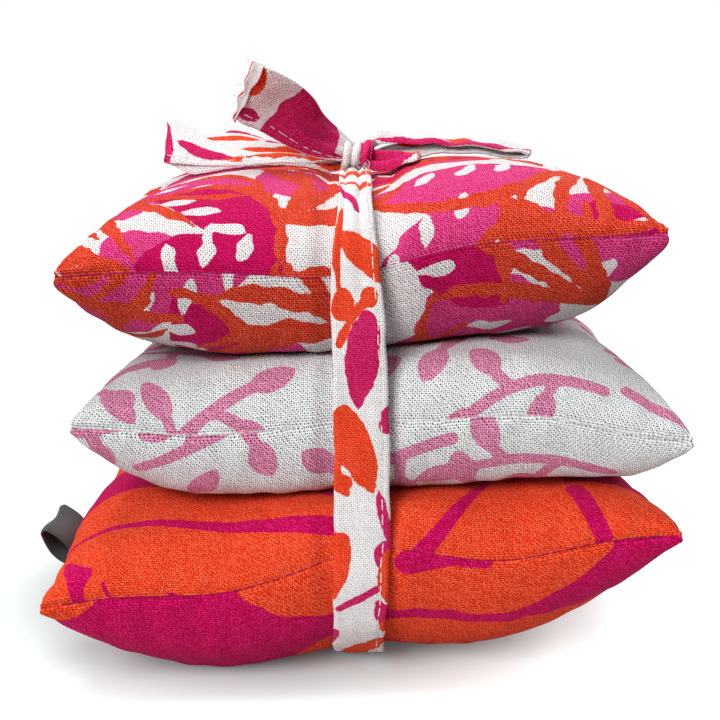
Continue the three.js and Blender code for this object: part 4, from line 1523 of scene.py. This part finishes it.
BOW = (
    BowPiece(
        name="left_bow_loop",
        node="bow_left_loop",
        body="left_loop",
        stations=(
            ((-1.2, -5.2, 96.2), (-1.2, -2.2, 98.6), 0.6),
            ((-4.1, -5.2, 96.0), (-3.7, -2.0, 98.6), 0.6),
            ((-7.8, -5.6, 95.4), (-7.0, -1.6, 97.4), 0.5),
            ((-12.2, -6.0, 95.0), (-11.4, -1.0, 98.6), 0.3),
            ((-18.4, -6.0, 94.8), (-18.3, 0.2, 100.0), 0.2),
            ((-25.1, -5.6, 94.8), (-25.8, 0.6, 101.4), 0.12),
            ((-30.9, -5.0, 94.9), (-31.5, 0.8, 101.3), 0.1),
            ((-35.5, -4.4, 95.1), (-36.1, 1.4, 103.1), 0.0),
            ((-39.0, -3.6, 95.4), (-39.0, 2.0, 104.4), 0.0),
            ((-40.0, -2.6, 95.4), (-40.0, 3.0, 104.5), 0.0),
            ((-38.9, -2.2, 94.9), (-39.0, 3.7, 103.8), 0.0),
            ((-34.3, -4.6, 93.2), (-34.6, 4.0, 101.4), 0.1),
            ((-27.6, -5.2, 93.0), (-27.8, 4.0, 102.9), 0.1),
            ((-21.4, -5.8, 93.0), (-21.6, 3.6, 102.3), 0.2),
            ((-14.3, -6.2, 93.0), (-14.3, 2.0, 100.0), 0.3),
            ((-7.8, -6.2, 93.4), (-7.3, -0.2, 98.0), 0.4),
            ((-4.1, -5.6, 94.0), (-3.7, -1.4, 97.4), 0.4),
            ((-1.2, -5.0, 94.8), (-1.2, -1.6, 97.2), 0.4),
        ),
        flat_length=79,
        flat_start=(80.0, 500.0),
        blend_start=(-3.6, -3.0, 97.2),
        blend_end=(-8.5, -3.0, 97.2),
        seed=21,
    ),
    BowPiece(
        name="right_bow_loop",
        node="bow_right_loop",
        body="right_loop",
        stations=(
            ((0.8, -5.0, 98.2), (0.8, -1.2, 99.4), 0.5),
            ((3.4, -5.6, 99.3), (3.4, -0.4, 101.2), 0.5),
            ((6.1, -5.6, 99.8), (6.3, 2.0, 101.2), 0.4),
            ((10.2, -5.4, 99.6), (10.5, 4.0, 101.0), 0.2),
            ((14.7, -5.0, 99.5), (15.2, 4.6, 101.0), 0.1),
            ((18.4, -4.6, 98.9), (19.0, 5.0, 100.2), 0.1),
            ((22.1, -4.0, 99.1), (22.8, 5.4, 100.6), 0.05),
            ((26.7, -3.0, 98.4), (27.5, 6.0, 99.9), 0.0),
            ((30.6, -1.6, 97.8), (31.4, 7.0, 99.3), 0.0),
            ((34.1, 0.0, 97.3), (35.0, 8.0, 98.5), 0.0),
            ((35.4, 1.2, 96.9), (36.2, 8.6, 97.9), 0.0),
            ((34.1, 0.6, 96.3), (35.2, 8.6, 97.3), 0.0),
            ((29.0, -1.0, 95.7), (30.3, 8.2, 97.9), 0.1),
            ((22.7, -3.5, 94.6), (23.4, 7.6, 99.2), 0.1),
            ((16.4, -5.0, 94.0), (17.0, 6.6, 99.9), 0.1),
            ((10.3, -6.2, 93.6), (10.6, 4.4, 99.9), 0.2),
            ((5.1, -5.8, 94.0), (5.2, 0.8, 98.9), 0.4),
            ((0.8, -4.0, 95.8), (0.8, -1.0, 97.1), 0.6),
        ),
        flat_length=70,
        flat_start=(120.0, 500.0),
        blend_start=(3.6, -2.6, 97.7),
        blend_end=(8.5, -2.6, 97.7),
        seed=22,
        rest_gap=0.55,
    ),
    BowPiece(
        name="raised_bow_tail",
        node="bow_raised_tail",
        body="raised_tail",
        stations=(
            ((0.4, -9.2, 96.8), (0.4, -7.6, 98.4), 0.4),
            ((-3.0, -11.2, 96.0), (-1.8, -7.8, 100.2), 0.6),
            ((-8.6, -11.8, 96.6), (-4.8, -8.0, 103.0), 0.45),
            ((-13.0, -11.6, 98.2), (-7.4, -10.6, 105.6), 0.35),
            ((-16.9, -11.4, 100.3), (-9.2, -14.0, 108.4), 0.25),
            ((-20.9, -11.2, 102.5), (-12.3, -17.6, 111.0), 0.15),
            ((-23.8, -11.2, 103.8), (-16.7, -20.6, 113.3), 0.1),
            ((-25.2, -11.4, 104.8), (-20.6, -21.2, 115.0), 0.0),
        ),
        flat_length=30,
        flat_start=(150.0, 500.0),
        blend_start=(-3.2, -9.6, 97.6),
        blend_end=(-8.0, -9.6, 99.6),
        seed=23,
        raw_end=True,
        topstitch_share=0.14,
        shade_painted_inside=True,
    ),
    BowPiece(
        name="lying_bow_tail",
        node="bow_lying_tail",
        body="lying_tail",
        stations=(
            ((-0.4, -9.4, 96.4), (-0.4, -7.8, 97.8), 0.5),
            ((2.4, -11.6, 94.6), (2.8, -7.6, 98.4), 0.75),
            ((5.6, -12.8, 93.4), (6.5, -6.8, 98.0), 0.7),
            ((8.8, -13.4, 93.2), (9.7, -6.8, 97.4), 0.6),
            ((11.3, -13.6, 93.4), (12.4, -7.0, 96.9), 0.6),
        ),
        flat_length=14,
        flat_start=(173.0, 500.0),
        blend_start=(3.2, -9.6, 97.2),
        blend_end=(7.0, -9.6, 97.0),
        seed=24,
        pleats=2.0,
        rest_gap=1.15,
    ),
)


# -------------------------------------------------------------------------------------------------------- label


@dataclass
class Label:
    """Blank loop of dark tape, caught in the left seam of the bottom sachet."""

    finish: WovenTape
    width: float = 18.0
    flat_length: float = 20.5
    reach: float = 8.8
    opening: float = 2.0
    thickness: float = 0.5
    fold_radius: float = 0.6
    tilt_degrees: float = 50.0
    root: tuple[float, float, float] = (-54.655, -27.671, 19.920)
    along: tuple[float, float, float] = (-0.0043, 0.9999, 0.01321)

    def build(self) -> bpy.types.Object:
        """Builds the loop, which comes out of the seam, turns round its fold and goes back."""
        along = unit(np.array(self.along))
        up = unit(np.array([0, 0, 1.0]) - along * along[2])
        right = np.cross(along, up)
        tilt = math.radians(self.tilt_degrees)
        outward = -math.cos(tilt) * right + math.sin(tilt) * up
        normal = math.sin(tilt) * right + math.cos(tilt) * up
        # The tape comes out of the seam, opens a little, turns round its fold and goes back.
        share = np.linspace(0, 1, 30)
        way = np.array([-0.35, *share]) * (self.reach - self.fold_radius)
        gap = np.array([0.3, *(0.35 + 0.25 * share + (self.opening / 2) * np.sin(np.pi * share))])
        turn = np.linspace(0, np.pi, 12)[1:-1]
        fold = self.reach - self.fold_radius + self.fold_radius * np.sin(turn)
        way = np.concatenate([way, fold, way[::-1]])
        gap = np.concatenate([gap, self.fold_radius * np.cos(turn), -gap[::-1]])
        middle = np.array(self.root) + way[:, None] * outward + gap[:, None] * normal
        half = along * self.width / 2
        tape = Tape(thickness=self.thickness, width=self.width, across_steps=24)
        bulge = 0.35 * smooth(way / self.reach)[:, None] * np.sin(2 * np.pi * tape.shares + 0.8)[None, :]
        obj, flat = tape_mesh("label_loop", middle - half, middle + half, bulge, tape, False, (0.0, 0.0))
        set_cloth(obj, flat)
        dress(obj, self.finish.make(), replaced=["label_tape_loop"])
        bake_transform(obj)
        return obj


# ------------------------------------------------------------------------------------------------------- studio


@dataclass(frozen=True)
class Lamp:
    """A soft box: where it stands, how wide it is and how strong."""

    name: str
    place: tuple[float, float, float]
    size: float
    power: float


@dataclass
class Studio:
    """Pale floor, soft boxes, a white world and the camera at the photograph's angle."""

    lamps: tuple[Lamp, ...] = (
        Lamp("front_softbox", (-0.34, -0.66, 0.42), 0.42, 5.8),
        Lamp("overhead_softbox", (-0.05, 0.05, 0.8), 0.5, 4.0),
        Lamp("back_softbox", (0.52, 0.6, 0.42), 0.5, 3.6),
    )
    aim: tuple[float, float, float] = (0.0, 0.0, 0.0537)
    distance: float = 0.300
    elevation_degrees: float = 9.5
    lens: float = 70.45
    ambient: float = 0.18

    def floor(self) -> None:
        """A wide floor that reads as white but keeps the shadow."""
        bpy.ops.object.select_all(action="DESELECT")
        bpy.ops.mesh.primitive_plane_add(size=8, location=(0, 0, 0))
        floor = bpy.context.object
        floor.name = "studio_floor"
        material, node, shader = new_material("matt white backdrop paper")
        rays = node("LightPath").node.outputs
        place = node("TexCoord", out="Object")
        away = node("VectorMath", (place, (-0.018, 0.012, 0.0)), "Value", operation="DISTANCE")
        # Little light comes back from the paper farther off, so the undersides keep their shade.
        far = node("MapRange", (away, 0.1, 0.25))
        bounce = node("Mix", {0: far, 6: linear("#D2D2D2"), 7: linear("#707070")}, 2, data_type="RGBA")
        # Seen by the camera, the paper is a cool grey-green, which cancels the pink light bounced onto it from the
        # sachets.
        tones = {0: rays["Is Camera Ray"], 6: bounce, 7: linear("#C0CECD")}
        feed(shader, {"Base Color": node("Mix", tones, 2, data_type="RGBA"), "Roughness": 0.9})
        # Painted light: for camera and glossy rays the paper glows white, hardly within 42 mm of the stack's middle
        # and fully from 90 mm out, so the rendered shadow shows only near the stack.
        lift = node("MapRange", (away, 0.042, 0.09, 0.06, 0.95), interpolation_type="SMOOTHSTEP")
        glow = node("Emission", {"Color": (1, 1, 1, 1), "Strength": lift})
        seen = node("Math", (rays["Is Camera Ray"], rays["Is Glossy Ray"]), operation="MAXIMUM")
        lit = node("MixShader", (seen, node("Emission", {"Strength": 0.0}), glow))
        output = next(n for n in material.node_tree.nodes if n.type == "OUTPUT_MATERIAL")
        feed(output, {"Surface": node("AddShader", (shader.outputs[0], lit))})
        floor.data.materials.append(material)

    def world(self) -> None:
        """Even light from all round, and white behind the object."""
        world = bpy.data.worlds.new("studio")
        world.use_nodes = True
        bpy.context.scene.world = world
        tree = world.node_tree
        tree.nodes.clear()
        ambient = add_node(tree, "Background", {"Color": (1, 1, 1, 1), "Strength": self.ambient})
        white = add_node(tree, "Background", {"Color": (1, 1, 1, 1), "Strength": 1.0})
        camera_ray = add_node(tree, "LightPath", out="Is Camera Ray")
        shown = add_node(tree, "MixShader", (camera_ray, ambient, white))
        feed(tree.nodes.new("ShaderNodeOutputWorld"), {"Surface": shown})

    def light(self) -> None:
        """The soft boxes, each turned to the stack."""
        for lamp in self.lamps:
            data = bpy.data.lights.new(lamp.name, "AREA")
            data.shape = "DISK"
            data.size = lamp.size
            data.energy = lamp.power
            obj = bpy.data.objects.new(lamp.name, data)
            obj.location = lamp.place
            obj.rotation_euler = (Vector(self.aim) - Vector(lamp.place)).to_track_quat("-Z", "Y").to_euler()
            bpy.context.scene.collection.objects.link(obj)

    def camera(self) -> None:
        """The camera, a little over the stack's middle and straight in front."""
        data = bpy.data.cameras.new("camera")
        data.sensor_width = 36
        data.lens = self.lens
        obj = bpy.data.objects.new("camera", data)
        angle = math.radians(self.elevation_degrees)
        back = Vector((0, -math.cos(angle), math.sin(angle)))
        obj.location = Vector(self.aim) + back * self.distance
        obj.rotation_euler = (-back).to_track_quat("-Z", "Y").to_euler()
        bpy.context.scene.collection.objects.link(obj)
        bpy.context.scene.camera = obj

    def build(self) -> None:
        """Sets up everything round the object."""
        self.floor()
        self.world()
        self.light()
        self.camera()
        bpy.context.scene.view_settings.view_transform = "Standard"


# --------------------------------------------------------------------------------------------------------- main

MAGENTA = "#D70864"
HOT_PINK = "#EC478D"
ORANGE = "#FF5632"
DEEP_ORANGE = "#EB4F35"
PINK = "#EC98BB"
WHITE = "#F7FAFB"
WARM_WHITE = "#FCF3F3"

# Strokes of the tie's print where they are seen: ink, place on the flat cloth, heading, length and width.
TIE_ACCENTS = (
    # front of the band
    (1, 21.8, 79.0, 1.5, 18.0, 2.2),
    (1, 20.6, 96.0, 1.4, 4.4, 4.4),
    (0, 16.0, 99.0, 1.35, 18.0, 6.4),
    (1, 21.8, 116.0, 1.85, 17.0, 6.8),
    (0, 15.0, 131.0, 1.7, 12.0, 2.0),
    (0, 13.9, 141.5, 1.6, 4.4, 4.4),
    (1, 21.6, 139.0, 1.25, 17.0, 6.6),
    (0, 14.8, 152.0, 1.9, 12.0, 3.6),
    (0, 22.5, 160.0, 1.3, 8.0, 2.6),
    # knot
    (0, 64.6, 8.0, 1.57, 17.0, 5.0),
    # left loop
    (0, 79.0, 540.5, 0.1, 13.0, 6.4),
    (0, 85.0, 537.0, -1.9, 13.0, 2.8),
    (1, 81.6, 528.0, -1.5, 22.0, 2.0),
    (1, 85.0, 524.0, -1.5, 18.0, 2.4),
    (1, 88.2, 531.0, -1.6, 13.0, 1.7),
    (1, 82.0, 512.0, -1.3, 12.0, 2.8),
    (0, 88.6, 519.0, -1.4, 14.0, 2.2),
    (0, 92.0, 552.0, 1.3, 20.0, 4.0),
    (1, 95.0, 566.0, 1.2, 16.0, 3.5),
    # right loop
    (0, 139.4, 506.0, 1.57, 32.0, 5.6),
    (0, 137.0, 501.0, 1.4, 13.0, 4.0),
    (1, 133.0, 516.0, 1.1, 9.0, 3.0),
    (1, 126.0, 556.0, 1.3, 12.0, 4.0),
    # raised tail
    (0, 147.0, 512.5, 0.0, 17.0, 15.0),
    (0, 150.6, 502.0, 1.4, 9.0, 3.4),
    (0, 151.6, 521.5, 1.5, 7.0, 2.2),
    (1, 155.6, 526.2, 0.5, 5.0, 4.4),
    (1, 151.4, 528.2, 0.2, 4.0, 3.0),
    (0, 163.0, 508.0, 1.3, 18.0, 6.0),
    # lying tail: the wide magenta leaf is painted shade in magenta ink, for the shade under the right loop; the orange
    # spot is print
    (0, 189.0, 501.0, 1.57, 13.0, 9.0),
    (1, 185.0, 511.0, 0.5, 5.0, 4.4),
)

BUDS = DriedBuds("dried lavender buds", ("#5C5A78", "#77708C", "#8E8470"))


def sachets() -> list[Sachet]:
    """The three sachets, from the bottom up."""
    buds = BUDS.make()
    bottom = Sachet(
        name="bottom",
        body=ROOT_BODY,
        form=SachetForm(
            side=113.4, draw_in=4.5, seam_height=24, crown_above=17, crown_below=26.5,
            front_left_rise=-4.5, front_right_rise=7, back_right_rise=-3, back_left_rise=-3,
            wave_rises=(-2.7, 2.7, -2.9), wave_places=(-0.45, 0.05, 0.45),
            shift_right=-2.3, turn_degrees=3, base=0.0,
            pressed_thickness=35.7, tilt_above=0.05, stands=True,
        ),
        cloth=PrintedCotton(
            "screen-printed plain-weave cotton, magenta",
            MAGENTA,
            (Ink("leaf_ink", ORANGE), Ink("rib_ink", MAGENTA)),
            pore_shade=0.3,
            crossing_glint_tone=0.16,
            dull_tone=0.04,
        ),
        cloth_print=Print(Motif.BROAD_LEAVES, 50, 150, 43, ("leaf_ink", "rib_ink")),
        thread=SewingThread("spun polyester thread, dark magenta", "#9A1250"),
        buds=buds,
        slack=(Slack(True, -0.88, -0.5, 0.28, -2.4),),
        corner_pull=0.6,
        seed=1,
    )
    middle = Sachet(
        name="middle",
        body="middle_sachet",
        form=SachetForm(
            side=110, draw_in=4.3, seam_height=13.5, crown_above=17.5, crown_below=20,
            front_left_rise=1, front_right_rise=-0.9, back_right_rise=-2.5, back_left_rise=-1.5,
            wave_rises=(-1.8, 1.2, 3.3), wave_places=(-0.65, 0.0, 0.5),
            shift_right=4.6, turn_degrees=-1, base=36.0, tilt=0.05,
            pressed_thickness=26.5, tilt_above=0.07,
        ),
        cloth=PrintedCotton(
            "screen-printed plain-weave cotton, white",
            WHITE,
            (Ink("sprig_ink", PINK),),
            pore_shade=0.7,
            pore_open=0.08,
            crossing_glint_tone=0.2,
            dull_tone=0.02,
        ),
        cloth_print=Print(Motif.BERRY_SPRIGS, 34, 150, 3, ("sprig_ink",)),
        thread=SewingThread("spun polyester thread, white", "#E6DDDC"),
        buds=buds,
        slack=(Slack(True, 0.72, -0.1, 0.3, 1.3), Slack(False, 0.7, -0.7, 0.35, 0.8)),
        seed=2,
    )
    top = Sachet(
        name="top",
        body="top_sachet",
        form=SachetForm(
            side=107.2, draw_in=4.2, seam_height=16.5, crown_above=15, crown_below=24,
            front_left_rise=-1.9, front_right_rise=5.2, back_right_rise=-1, back_left_rise=-0.5,
            wave_rises=(-1.1, -3.7, 0.3), wave_places=(-0.5, -0.08, 0.45),
            shift_right=-2.1, turn_degrees=3, base=62.8, tilt=0.07,
        ),
        cloth=PrintedCotton(
            "screen-printed plain-weave cotton, three inks",
            WARM_WHITE,
            (
                Ink("leaf_ink", HOT_PINK),
                Ink("shade_ink", MAGENTA),
                Ink("bare", WARM_WHITE),
                Ink("line_ink", DEEP_ORANGE),
            ),
            pore_open=0.03,
            dull_tone=0.11,
        ),
        cloth_print=Print(Motif.BRUSHED_LEAVES, 24.5, 150, 21, ("leaf_ink", "shade_ink", "bare", "line_ink"), 0.3),
        thread=SewingThread("spun polyester thread, magenta", "#B01C66"),
        buds=buds,
        slack=(Slack(False, -0.75, -0.7, 0.3, 1.4), Slack(True, -0.75, -0.2, 0.35, 1.2)),
        seed=3,
    )
    return [bottom, middle, top]


def main() -> None:
    """Builds the sachets, the label, the tie and the studio, and reports each piece."""
    logging.basicConfig(level=logging.INFO, format="%(message)s", stream=sys.stdout)
    pieces: list[bpy.types.Object] = []
    for sachet in sachets():
        pieces.extend(sachet.build())
    pieces.append(Label(WovenTape("polyester satin label tape", "#3D4541")).build())
    tie_cloth = PrintedCotton(
        "screen-printed plain-weave cotton tape",
        "#FFFAF9",
        (Ink("magenta_ink", "#DC2A70"), Ink("orange_ink", "#FC5431")),
        thread_pitch=0.36,
        pore_shade=0.32,
        crossing_glint_tone=0.1,
        glow=0.4,
        dull_tone=0.14,
    )
    tie_print = Print(Motif.LOOSE_LEAVES, 13.5, 430, 8, ("magenta_ink", "orange_ink"), 0.15, TIE_ACCENTS)
    tie_thread = SewingThread("spun cotton thread, white", "#F0ECEA")
    pieces.extend(Tie(TieLook(tie_cloth.make(), tie_print, tie_thread.make())).build())
    Studio().build()
    for piece in pieces:
        LOG.info("%s: %d faces", piece.name, len(piece.data.polygons))


if __name__ == "__main__":
    main()
